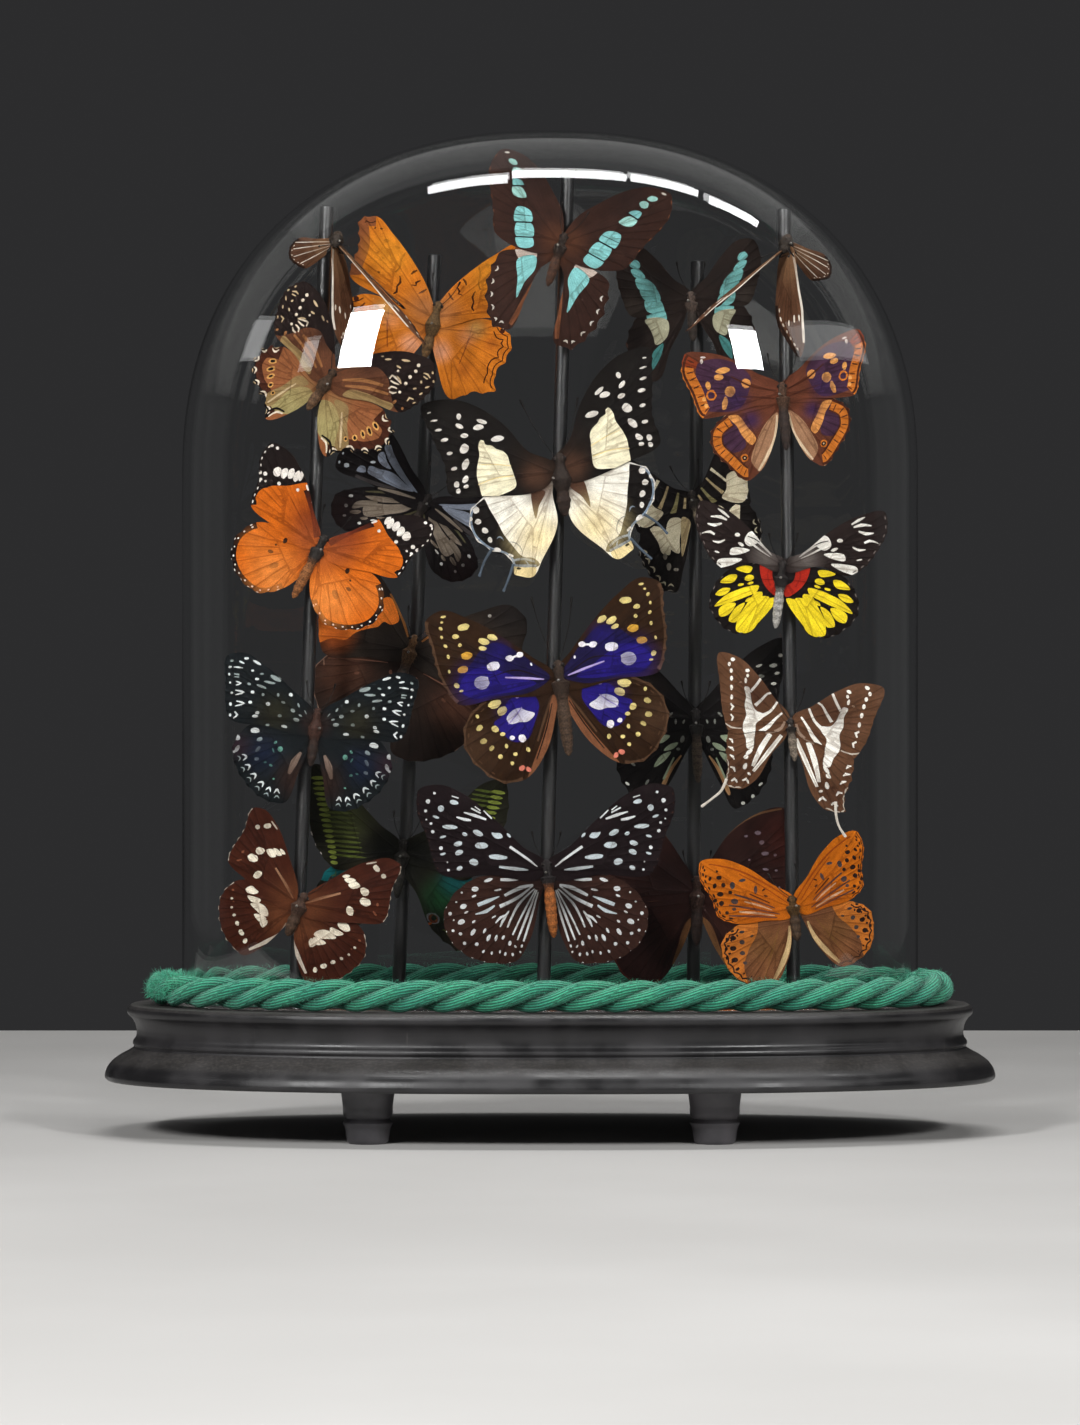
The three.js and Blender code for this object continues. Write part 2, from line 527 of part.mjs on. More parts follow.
// Fuses the wings with body, limbs and pin, and sets the specimen in its place. under is the way from
// its back to its belly.
function makeSpecimen(specimen, wings, under) {
  const thorax = thoraxPlace(specimen);
  const [head, tail, radius] = specimen.body;
  const bodyPieces = [makeBody(seen(head), seen(tail), radius), makePin(thorax, RODS[specimen.rod])];
  const pieces = [...wings, ...bodyPieces, ...makeLimbs(seen(head), radius, under)];
  const fused = pieces.reduce((whole, piece) => whole.add(piece)).simplify(FINEST);
  return fromSolid(fused).translate(thorax.x, thorax.y, thorax.z);
}

function makePinned(specimen) {
  const { fore, hind, tips, far_tips, lift, tails = [], far_tails } = specimen;
  const near = hanger(tips, [seen(tips[0], lift[0]), seen(tips[1], lift[1])]);
  const far = hanger(tips, [seen(far_tips[0], lift[2]), seen(far_tips[1], lift[3])]);
  const wings = [near, far].flatMap((hang) => [makeWing(fore, hang, 0), makeWing(hind, hang, UNDERLAP)]);
  const farTails = far_tails ? far_tails.map((points) => points.map((point) => seen(point, lift[3])))
    : tails.map((points) => points.map(far));
  wings.push(...[...tails.map((points) => points.map(near)), ...farTails].flatMap(makeTail));
  return makeSpecimen(specimen, wings, new THREE.Vector3(0, 1, 0));
}

function makeTilted(specimen) {
  const wings = [0, 1].flatMap((side) => [
    makeWing(BROWN_FORE, hanger(FORE_TIPS, specimen.fore_ends[side].map((end) => seen(end))), 0),
    makeWing(BROWN_HIND, hanger(HIND_TIPS, specimen.hind_ends[side].map((end) => seen(end))), UNDERLAP),
  ]);
  return makeSpecimen(specimen, wings, new THREE.Vector3(0, 0, -1));
}

const object = new THREE.Group();

function addPiece(name, geometry, finish) {
  const piece = new THREE.Mesh(geometry, new THREE.MeshStandardMaterial(FINISHES[finish]));
  piece.name = name;
  object.add(piece);
  return piece;
}

addPiece("dome", makeDome(), "glass");
addPiece("plinth", makePlinth(), "ebonised");
for (const [name, [x, y]] of Object.entries(FEET)) {
  addPiece(name, makeFoot(), "ebonised").position.set(x, y, 0);
}
addPiece("rope_ring", makeRope(), "rope");
for (const rod of RODS) addPiece(rod.name, makeRod(rod), "rod");
for (const specimen of SPECIMENS) addPiece(`butterfly_${specimen.name}`, makePinned(specimen), specimen.name);
for (const specimen of TILTED) addPiece(`butterfly_${specimen.name}`, makeTilted(specimen), specimen.name);

export default object;
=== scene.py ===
"""The looks of an oval glass dome of pinned butterflies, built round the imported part.

Sizes are in millimetres until a mesh is made; +Z is up and the front faces -Y.
"""
import math
import random

import bpy
import numpy as np
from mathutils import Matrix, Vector, geometry, noise


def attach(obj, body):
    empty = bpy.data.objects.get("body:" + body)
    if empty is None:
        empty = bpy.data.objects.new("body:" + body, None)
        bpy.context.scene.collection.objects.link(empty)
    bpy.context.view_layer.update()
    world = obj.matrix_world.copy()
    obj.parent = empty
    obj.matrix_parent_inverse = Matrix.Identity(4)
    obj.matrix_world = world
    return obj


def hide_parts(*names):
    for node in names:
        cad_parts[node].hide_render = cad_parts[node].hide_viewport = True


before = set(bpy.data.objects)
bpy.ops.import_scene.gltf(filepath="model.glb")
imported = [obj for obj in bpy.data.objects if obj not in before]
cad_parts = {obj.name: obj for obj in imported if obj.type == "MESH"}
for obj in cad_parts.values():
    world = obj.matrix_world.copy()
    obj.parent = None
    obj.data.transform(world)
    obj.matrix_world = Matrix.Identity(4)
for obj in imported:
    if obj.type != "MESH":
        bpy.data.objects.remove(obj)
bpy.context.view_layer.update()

MM = 0.001
STEP = 0.8  # spacing of points along wing outlines, the moulding and tails
WHITE = (1, 1, 1)  # for pieces whose material brings all the colour
random.seed(7)

# Driving dimensions, the same as in the solids
OVAL_POWER = 2.4
PLINTH_BOTTOM = 21.6
PLINTH_TOP = 51.3
FOOT_TOP = 21.3
LIP_HALF_WIDTH = 168.5
LIP_HALF_DEPTH = 88
DOME_HALF_WIDTH = 147
DOME_HALF_DEPTH = 66
GLASS = 2.6
THINNING = 0.6  # share of its thickness that the glass loses at the crown
DOME_BOTTOM = 51.6
RIM = 0.8  # height of the dome's rounded rim
RIM_ROUND = [(0.85, 0.25), (0.6, 0), (0.4, 0), (0.15, 0.25)]  # share of the glass and rise, going outward
SHOULDER = 262
DOME_TOP = 400.4
CROWN_POWER = 2.25
ROPE_RADIUS = 6.3
ROPE_LIFT = 0.35
ROPE_FLAT = 0.3  # height over the plinth where the strands are pressed flat
ROPE_HALF_WIDTH = 155
ROPE_HALF_DEPTH = 74
ROD_RADIUS = 2.75
ROD_BOTTOM = 51.8
STAND_OFF = 9
WING = 0.26  # thickness of a wing here, where the solids are thicker
WING_CURL = 1.2  # how far a wing's edge bows back
WING_RIPPLE = 0.5
GRID = 1.7  # spacing of the points that let a wing bend
VEIN_WIDTH = 0.22
NO_VEIN = 9.0  # a distance that no vein's shading reaches
UNDERLAP = 0.5
BODY_HAIRS = 170
BODY_HAIR = (1.5, 0.06)  # length and radius
PIN_RADIUS = 0.28
PIN_HEAD = 0.55
ANTENNA = 14
ANTENNA_SPREAD = 0.42
RODS = [
    {"name": "rod_1", "foot": [-100.8, -20], "head": [-88.8, -9], "top": 369},
    {"name": "rod_2", "foot": [-61.4, 22], "head": [-46.4, 20], "top": 352},
    {"name": "rod_3", "foot": [-2.8, -12], "head": [7.1, -8], "top": 382.5},
    {"name": "rod_4", "foot": [57.8, 22], "head": [59.4, 20], "top": 349.5},
    {"name": "rod_5", "foot": [96.3, -20], "head": [93.1, -9], "top": 368},
]

# Half width and height of each corner of the plinth's moulding, from the bottom up
MOULDING = [
    (176.5, 21.6), (177.5, 22.4), (177.3, 25), (175.5, 28.2), (172, 31), (168, 33.2), (166, 35), (166.5, 36),
    (166.3, 37.2), (165.3, 38.5), (165, 41), (165.6, 44), (167.2, 46.6), (168.5, 47.8), (168.5, 50.3),
    (167.3, 51.3),
]
FOOT_PROFILE = [
    (7.2, 0), (7.8, 0.6), (8.4, 3), (9, 6.4), (9.8, 8.2), (8.6, 9.8), (9.2, 10.5), (9.8, 15), (10.6, 21.3),
]
FEET = {
    "foot_front_left": (-71, -60),
    "foot_front_right": (64, -60),
    "foot_back_left": (-74.5, 60),
    "foot_back_right": (67.5, 60),
}


def linear(colour):
    """A colour written as RRGGBB, as the renderer's linear light."""
    parts = [int(colour[k:k + 2], 16) / 255 for k in (0, 2, 4)]
    return tuple(c / 12.92 if c < 0.04045 else ((c + 0.055) / 1.055) ** 2.4 for c in parts)


# Mesh building

class Piece:
    """Collects the faces of one object, with a colour on every corner and a few numbers on every point."""

    def __init__(self):
        self.points, self.faces, self.tints, self.slots = [], [], [], []
        self.fields = {"vein": [], "under": [], "ray": []}
        self.count = 0

    def add(self, points, faces, tints, slot=0, vein=None, under=None, ray=None):
        """tints is one colour or a list of colours, one for each face corner."""
        points = np.asarray(points, float)
        number = len(points)
        corners = sum(len(face) for face in faces)
        tints = np.asarray(tints, float)
        if tints.ndim == 1:
            tints = np.tile(tints, (corners, 1))
        self.points.append(points)
        self.faces.extend(tuple(i + self.count for i in face) for face in faces)
        self.tints.append(tints)
        self.slots.extend([slot] * len(faces))
        self.fields["vein"].append(np.full(number, NO_VEIN) if vein is None else vein)
        self.fields["under"].append(np.zeros(number) if under is None else under)
        self.fields["ray"].append(np.zeros((number, 3)) if ray is None else ray)
        self.count += number

    def build(self, name, materials, sharp=50):
        mesh = bpy.data.meshes.new(name)
        mesh.from_pydata(np.concatenate(self.points) * MM, [], self.faces)
        tints = np.concatenate(self.tints)
        colour = mesh.attributes.new("tint", "FLOAT_COLOR", "CORNER")
        opaque = np.column_stack([tints, np.ones(len(tints))])
        colour.data.foreach_set("color", opaque.astype(np.float32).ravel())
        for key in ("vein", "under"):
            field = mesh.attributes.new(key, "FLOAT", "POINT")
            field.data.foreach_set("value", np.concatenate(self.fields[key]).astype(np.float32))
        ray = mesh.attributes.new("ray", "FLOAT_VECTOR", "POINT")
        ray.data.foreach_set("vector", np.concatenate(self.fields["ray"]).astype(np.float32).ravel())
        for material in materials:
            mesh.materials.append(material)
        mesh.polygons.foreach_set("material_index", np.array(self.slots, np.int32))
        mesh.polygons.foreach_set("use_smooth", np.ones(len(self.faces), bool))
        mesh.update()
        mesh.set_sharp_from_angle(angle=math.radians(sharp))
        thing = bpy.data.objects.new(name, mesh)
        bpy.context.scene.collection.objects.link(thing)
        return thing


def settle(thing, node, slot):
    """The piece stands for a node of the solids, whose part it hides, and rides with them. slot is not used.
    """
    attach(thing, "root")
    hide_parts(node)
    return thing


def ring_faces(rings, sides, first=0, closed=False):
    """Quads between rings of points that follow each other; closed joins the last ring to the first."""
    faces = []
    for r in range(rings if closed else rings - 1):
        a, b = first + r * sides, first + ((r + 1) % rings) * sides
        faces += [(a + s, a + (s + 1) % sides, b + (s + 1) % sides, b + s) for s in range(sides)]
    return faces


def closed_sweep(rings, sides):
    """Faces of rings of points that follow the first point and end at the last, both on the axis."""
    faces = ring_faces(rings, sides, 1)
    last = rings * sides + 1
    for s in range(sides):
        following = (s + 1) % sides
        faces += [(0, 1 + following, 1 + s), (last - sides + s, last - sides + following, last)]
    return faces


def add_tube(piece, path, radii, sides, tints, slot=0, flat=1.0):
    """A capped tube along a path. tints is one colour, or one for each point of the path."""
    path = np.asarray(path, float)
    ahead = np.gradient(path, axis=0)
    ahead /= np.linalg.norm(ahead, axis=1)[:, None]
    side = np.cross(ahead[0], [0, 1, 0.01])
    points = []
    for centre, way, radius in zip(path, ahead, radii):
        side = side - way * side.dot(way)
        side /= np.linalg.norm(side)
        other = np.cross(way, side)
        for k in range(sides):
            angle = 2 * math.pi * k / sides
            points.append(centre + radius * (side * math.cos(angle) + other * math.sin(angle) * flat))
    count = len(path)
    points += [path[0], path[-1]]
    faces = ring_faces(count, sides)
    rows = [r for r in range(count - 1) for _ in range(sides)]
    start, end = count * sides, count * sides + 1
    for s in range(sides):
        faces += [((s + 1) % sides, s, start),
                  ((count - 1) * sides + s, (count - 1) * sides + (s + 1) % sides, end)]
        rows += [0, count - 1]
    tints = np.asarray(tints, float)
    if tints.ndim == 2:
        tints = np.concatenate([np.tile(tints[row], (len(face), 1)) for row, face in zip(rows, faces)])
    piece.add(points, faces, tints, slot)


def add_ball(piece, centre, radius, tint, slot=0):
    angles = np.linspace(0, math.pi, 9)[1:-1]
    path = [np.array(centre) + [0, 0, -radius * math.cos(a)] for a in angles]
    add_tube(piece, path, [radius * math.sin(a) for a in angles], 10, tint, slot)


def add_hairs(piece, roots, ways, length, width, tints, slot=0):
    """Fine tapered hairs, each a three-sided needle with a bend."""
    points, faces, colours = [], [], []
    for i, (root, way) in enumerate(zip(roots, ways)):
        way = way / np.linalg.norm(way)
        side = np.cross(way, [random.uniform(-1, 1) for _ in range(3)])
        side /= np.linalg.norm(side)
        other = np.cross(way, side)
        reach = length * random.uniform(0.6, 1.2)
        first = len(points)
        for centre, radius in ((root, width), (root + way * reach * 0.5, width * 0.7)):
            for angle in (0, 2.1, 4.2):
                points.append(centre + radius * (side * math.cos(angle) + other * math.sin(angle)))
        points.append(root + way * reach + side * reach * 0.3)
        for k in range(3):
            following = (k + 1) % 3
            faces.append((first + k, first + following, first + 3 + following, first + 3 + k))
            faces.append((first + 3 + k, first + 3 + following, first + 6))
        colours += [tints[i % len(tints)]] * 21
    piece.add(points, faces, colours, slot)


# Flat outlines and what is drawn on them

def smooth_line(corners, step, closed):
    """A smooth curve through the corners: its points, and each one's place counted in corners."""
    corners = np.array(corners, float)
    count = len(corners)
    spans = count if closed else count - 1

    def corner(i):
        return corners[i % count] if closed else corners[min(max(i, 0), count - 1)]

    def speed(i):
        before, after = corner(i) - corner(i - 1), corner(i + 1) - corner(i)
        short, long = np.linalg.norm(before) + 1e-9, np.linalg.norm(after) + 1e-9
        return (before / short * long + after / long * short) / (short + long)

    points, places = [], []
    for i in range(spans):
        a, b = corner(i), corner(i + 1)
        span = np.linalg.norm(b - a)
        start, end = speed(i) * span, speed(i + 1) * span
        steps = max(1, round(span / step))
        for k in range(steps):
            t = k / steps
            points.append((2 * t**3 - 3 * t**2 + 1) * a + (t**3 - 2 * t**2 + t) * start
                          + (3 * t**2 - 2 * t**3) * b + (t**3 - t**2) * end)
            places.append(i + t)
    if not closed:
        points.append(corners[-1])
        places.append(spans)
    return np.array(points), np.array(places)


def walk(line, shares):
    """Points at these shares of a line's length."""
    lengths = np.concatenate([[0], np.cumsum(np.linalg.norm(np.diff(line, axis=0), axis=1))])
    at = np.asarray(shares, float) * lengths[-1]
    return np.column_stack([np.interp(at, lengths, line[:, k]) for k in (0, 1)])


def far_from(points, line_starts, line_ends):
    """Each point's distance to the nearest of many short straight lines."""
    way = line_ends - line_starts
    length = (way**2).sum(1) + 1e-12
    best = np.full(len(points), 1e9)
    for start, w, size in zip(line_starts, way, length):
        share = np.clip(((points - start) @ w) / size, 0, 1)
        best = np.minimum(best, np.linalg.norm(points - start - share[:, None] * w, axis=1))
    return best


def inside(points, loop):
    """Which points lie inside a closed loop."""
    result = np.zeros(len(points), bool)
    for a, b in zip(loop, np.roll(loop, -1, axis=0)):
        crosses = (a[1] > points[:, 1]) != (b[1] > points[:, 1])
        where = (b[0] - a[0]) * (points[:, 1] - a[1]) / (b[1] - a[1] + 1e-12) + a[0]
        result ^= crosses & (points[:, 0] < where)
    return result


def ribbon(line, halves):
    """A closed loop round a line, with a half width at each of its points."""
    line = np.asarray(line, float)
    ahead = np.gradient(line, axis=0)
    ahead /= np.linalg.norm(ahead, axis=1)[:, None] + 1e-12
    across = np.column_stack([-ahead[:, 1], ahead[:, 0]]) * np.asarray(halves, float)[:, None]
    return np.concatenate([line + across, (line - across)[::-1]])


def counterclockwise(loop):
    x, z = loop[:, 0], loop[:, 1]
    return loop if (x * np.roll(z, -1) - z * np.roll(x, -1)).sum() > 0 else loop[::-1]


def oval(x, z, long, short=None, degrees=0):
    """A round or oval loop with a slightly uneven edge."""
    short = short or long
    count = max(7, min(16, int(5 + 3 * max(long, short))))
    turn = math.radians(degrees)
    loop = []
    for k in range(count):
        angle = 2 * math.pi * k / count
        a = long * math.cos(angle) * random.uniform(0.9, 1.1)
        b = short * math.sin(angle) * random.uniform(0.9, 1.1)
        loop.append((x + a * math.cos(turn) - b * math.sin(turn),
                     z + a * math.sin(turn) + b * math.cos(turn)))
    return np.array(loop)


class Wing:
    """One flat wing: its outline with its scallops, its veins and its outer margin."""

    def __init__(self, corners, margin, teeth, veins):
        loop, places = smooth_line(corners, STEP, True)
        start, end = margin
        on_margin = (places >= start) & (places <= end)
        first = loop[on_margin]
        self.middle = loop.mean(0)
        if teeth:
            shares = np.concatenate([[0], np.cumsum(np.linalg.norm(np.diff(first, axis=0), axis=1))])
            shares /= shares[-1]
            inward = self.inward(first)
            wave = np.abs(np.sin(math.pi * veins * shares))
            depth = teeth * wave if teeth > 0 else -teeth * (1 - wave)
            fade = np.minimum(1, 8 * np.minimum(shares, 1 - shares))
            loop[on_margin] = first + inward * (depth * fade)[:, None]
        self.loop = loop
        self.margin = first
        self.root = (loop[0] + loop[places >= len(corners) - 1][0]) / 2
        self.veins = self.lay_veins(veins)

    def inward(self, line):
        ahead = np.gradient(line, axis=0)
        ahead = np.array([ahead[max(0, i - 2):i + 3].mean(0) for i in range(len(ahead))])
        across = np.column_stack([-ahead[:, 1], ahead[:, 0]])
        across /= np.linalg.norm(across, axis=1)[:, None] + 1e-12
        toward = self.middle - line.mean(0)
        return across if (across.mean(0) @ toward) > 0 else -across

    def by_margin(self, shares, inset):
        """Points at shares of the outer margin, moved in from it."""
        normals = self.inward(self.margin)
        places = walk(self.margin, shares)
        which = [int(np.argmin(np.linalg.norm(self.margin - p, axis=1))) for p in places]
        return places + normals[which] * np.asarray(inset, float).reshape(-1, 1)

    def lay_veins(self, count):
        """A cell from the root to mid-wing, and veins from its end to the outer margin."""
        root = self.root
        high = root + 0.55 * (self.by_margin([0.12], 0)[0] - root)
        low = root + 0.5 * (self.by_margin([0.85], 0)[0] - root)
        lines = [[root, high], [root, low], [high, low]]
        for k in range(count + 1):
            share = k / count
            start = high + (low - high) * min(1, max(0, share * 1.2 - 0.1))
            lines.append([start, self.by_margin([share], 0.2)[0]])
        inner = self.by_margin([1.0], 0)[0]
        lines.append([root, root + 0.93 * (inner - root) + 0.05 * (self.middle - inner)])
        bent = []
        for a, b in lines:
            a, b = np.array(a), np.array(b)
            steps = max(3, int(np.linalg.norm(b - a) / 2))
            middle = (a + b) / 2 + 0.04 * (self.middle - (a + b) / 2)
            t = np.linspace(0, 1, steps)[:, None]
            bent.append((1 - t)**2 * a + 2 * t * (1 - t) * middle + t**2 * b)
        return bent

    def drawn(self, marks, colours):
        """Turns the marks into closed loops with colours, in painting order."""
        draw = {"spots": self.spots, "lines": self.lines, "patches": self.patches, "row": self.row,
                "lunes": self.lunes, "bars": self.bars, "band": self.band, "wave": self.wave}
        loops = []
        for kind, colour, *values in marks:
            if kind != "glow":
                tint = linear(colours.get(colour, colour))
                loops += [(tint, counterclockwise(loop)) for loop in draw[kind](*values)]
        return loops

    def spots(self, *ovals):
        return [oval(*spot) for spot in ovals]

    def lines(self, *paths):
        """Lines through points (x, z, half width)."""
        loops = []
        for corners in paths:
            path, places = smooth_line([corner[:2] for corner in corners], 1.2, False)
            halves = np.interp(places, range(len(corners)), [corner[2] for corner in corners])
            loops.append(ribbon(path, halves))
        return loops

    def patches(self, *outlines):
        return [smooth_line(corners, 1.0, True)[0] for corners in outlines]

    def bars(self, count, first, last, share):
        """A ladder of bars from first to last, each (x, z, half length, degrees)."""
        loops = []
        step = math.hypot(last[0] - first[0], last[1] - first[1]) / (count - 1)
        for k in range(count):
            x, z, half, turn = (a + (b - a) * k / (count - 1) for a, b in zip(first, last))
            loops.append(oval(x, z, half * random.uniform(0.88, 1.08), step * share / 2, turn))
        return loops

    def row(self, count, inset, long, short, start=0.0, end=1.0):
        """Spots side by side along the margin."""
        loops = []
        for k in range(count):
            share = start + (end - start) * (k + 0.5) / count
            x, z = self.by_margin([share], inset * random.uniform(0.94, 1.06))[0]
            way = np.diff(self.by_margin([max(0, share - 0.03), min(1, share + 0.03)], inset), axis=0)[0]
            size = random.uniform(0.85, 1.12)
            loops.append(oval(x, z, long * size, short * size, math.degrees(math.atan2(way[1], way[0]))))
        return loops

    def lunes(self, count, inset, long, thick, bend, start=0.0, end=1.0):
        """Little crescents side by side along the margin. A bend above 0 bows them towards the root."""
        loops = []
        total = np.linalg.norm(np.diff(self.margin, axis=0), axis=1).sum()
        for k in range(count):
            share = start + (end - start) * (k + 0.5) / count
            offsets = np.linspace(-1, 1, 7)
            shares = np.clip(share + offsets * long / total, 0, 1)
            line = self.by_margin(shares, inset + bend * (1 - offsets**2))
            loops.append(ribbon(line, thick * (1.05 - offsets**2 * 0.85)))
        return loops

    def band(self, outer, inner, start=0, end=1):
        """The strip between two distances from the margin."""
        shares = np.linspace(start, end, 24)
        return [np.concatenate([self.by_margin(shares, outer), self.by_margin(shares, inner)[::-1]])]

    def wave(self, count, inset, swing, half, start=0, end=1):
        """A scalloped line along the margin."""
        shares = np.linspace(start, end, 8 * count + 1)
        bow = swing * np.abs(np.sin(math.pi * count * (shares - start) / (end - start)))
        line = self.by_margin(shares, inset + bow)
        return [ribbon(line, np.full(len(line), half))]

    def cut(self, ground, marks, colours):
        """Triangles of the wing cut along everything drawn on it, with a colour for each."""
        loops = self.drawn(marks, colours)
        low, high = self.loop.min(0), self.loop.max(0)
        grid = []
        for row, z in enumerate(np.arange(low[1], high[1], GRID * 0.87)):
            for x in np.arange(low[0] + (row % 2) * GRID / 2, high[0], GRID):
                grid.append((x + random.uniform(-0.2, 0.2), z + random.uniform(-0.2, 0.2)))
        grid = np.array(grid)
        grid = grid[inside(grid, self.loop)]
        grid = grid[far_from(grid, self.loop, np.roll(self.loop, -1, axis=0)) > 0.7]
        points = [tuple(p) for p in counterclockwise(self.loop)]
        faces = [list(range(len(points)))]
        for _, loop in loops:
            faces.append(list(range(len(points), len(points) + len(loop))))
            points += [tuple(p) for p in loop]
        edges = []
        for vein in self.veins:
            edges += [(len(points) + k, len(points) + k + 1) for k in range(len(vein) - 1)]
            points += [tuple(p) for p in vein]
        points += [tuple(p) for p in grid]
        flat, _, triangles, _, _, sources = geometry.delaunay_2d_cdt(
            [Vector(p) for p in points], edges, faces, 0, 1e-4, True)
        flat = np.array([tuple(p) for p in flat])
        tints = [linear(colours.get(ground, ground))] + [tint for tint, _ in loops]
        kept, painted = [], []
        for triangle, source in zip(triangles, sources):
            if 0 in source:
                kept.append(tuple(triangle))
                painted.append(tints[max(source)])
        used = sorted({i for face in kept for i in face})
        order = {old: new for new, old in enumerate(used)}
        self.points = flat[used]
        self.faces = []
        for face in kept:
            face = tuple(order[i] for i in face)
            a, b, c = self.points[list(face)]
            turned = (b[0] - a[0]) * (c[1] - a[1]) - (b[1] - a[1]) * (c[0] - a[0])
            self.faces.append(face if turned > 0 else face[::-1])
        corner_tints = np.repeat(np.array(painted), 3, axis=0)
        places = self.points[np.array(self.faces).ravel()]
        for _, colour, x, z, reach, strength in [m for m in marks if m[0] == "glow"]:
            near = np.clip(1 - np.linalg.norm(places - [x, z], axis=1) / reach, 0, 1)
            share = (near * near * (3 - 2 * near) * strength)[:, None]
            corner_tints = corner_tints * (1 - share) + np.array(linear(colours.get(colour, colour))) * share
        self.tints = corner_tints
        starts = np.concatenate([vein[:-1] for vein in self.veins])
        ends = np.concatenate([vein[1:] for vein in self.veins])
        self.vein = far_from(self.points, starts, ends)
        from_root = self.points - self.root
        reach = np.linalg.norm(from_root, axis=1)
        turn = np.arctan2(from_root[:, 1], from_root[:, 0])
        self.ray = np.column_stack([np.cos(turn) * 25, np.sin(turn) * 25, reach * 0.12])
        self.reach = reach
        return self


def hanger(tips, ends):
    """The linear map that takes two flat points to two points in space, and its unit normal to the front."""
    flat = np.array(tips, float).T
    space = np.array(ends, float).T
    matrix = space @ np.linalg.inv(flat)
    normal = np.cross(matrix[:, 0], matrix[:, 1])
    normal /= np.linalg.norm(normal)
    return matrix, (normal if normal[1] < 0 else -normal)


def seen(point, forward=0.0):
    """A point seen from the front as (x, z), or as (x, forward, z), as a point in space."""
    if len(point) == 3:
        return [point[0], -point[1], point[2]]
    return [point[0], -forward, point[1]]


def add_wing(piece, wing, hang, back, origin):
    """Hangs a cut wing in space as a thin closed sheet, bowed and rippled like a dried one."""
    matrix, normal = hang
    flat, count = wing.points, len(wing.points)
    spread = wing.reach.max()
    share = wing.reach / spread
    turn = np.arctan2(wing.ray[:, 1], wing.ray[:, 0])
    lift = -WING_CURL * share**2.5
    lift += WING_RIPPLE * share * np.sin(turn * 11 + 1.3) * 0.5
    seed = random.uniform(0, 50)
    bumps = np.array([noise.noise(Vector((x * 0.09, z * 0.09, seed))) for x, z in flat])
    lift += bumps * WING_RIPPLE * 1.6 * share
    lift += 0.13 * np.exp(-(wing.vein / 0.45)**2)
    middle = flat @ matrix.T + normal * (lift - back)[:, None] + origin
    points = np.concatenate([middle + normal * WING / 2, middle - normal * WING / 2])
    front = wing.faces
    a, b, c = middle[list(front[0])]
    if np.cross(b - a, c - a) @ normal < 0:
        front = [face[::-1] for face in front]
        tints = wing.tints.reshape(-1, 3, 3)[:, ::-1].reshape(-1, 3)
    else:
        tints = wing.tints
    behind = [tuple(i + count for i in face[::-1]) for face in front]
    behind_tints = tints.reshape(-1, 3, 3)[:, ::-1].reshape(-1, 3)
    open_edges = {}
    for number, face in enumerate(front):
        for i, j in zip(face, face[1:] + face[:1]):
            if (j, i) in open_edges:
                del open_edges[(j, i)]
            else:
                open_edges[(i, j)] = number
    rims = [(j, i, i + count, j + count) for i, j in open_edges]
    rim_tints = np.repeat(np.array([tints[3 * number] for number in open_edges.values()]), 4, axis=0)
    under = np.concatenate([np.zeros(count), np.ones(count)])
    piece.add(points, list(front) + behind + rims, np.concatenate([tints, behind_tints, rim_tints]), 0,
              np.tile(wing.vein, 2), under, np.tile(wing.ray, (2, 1)))


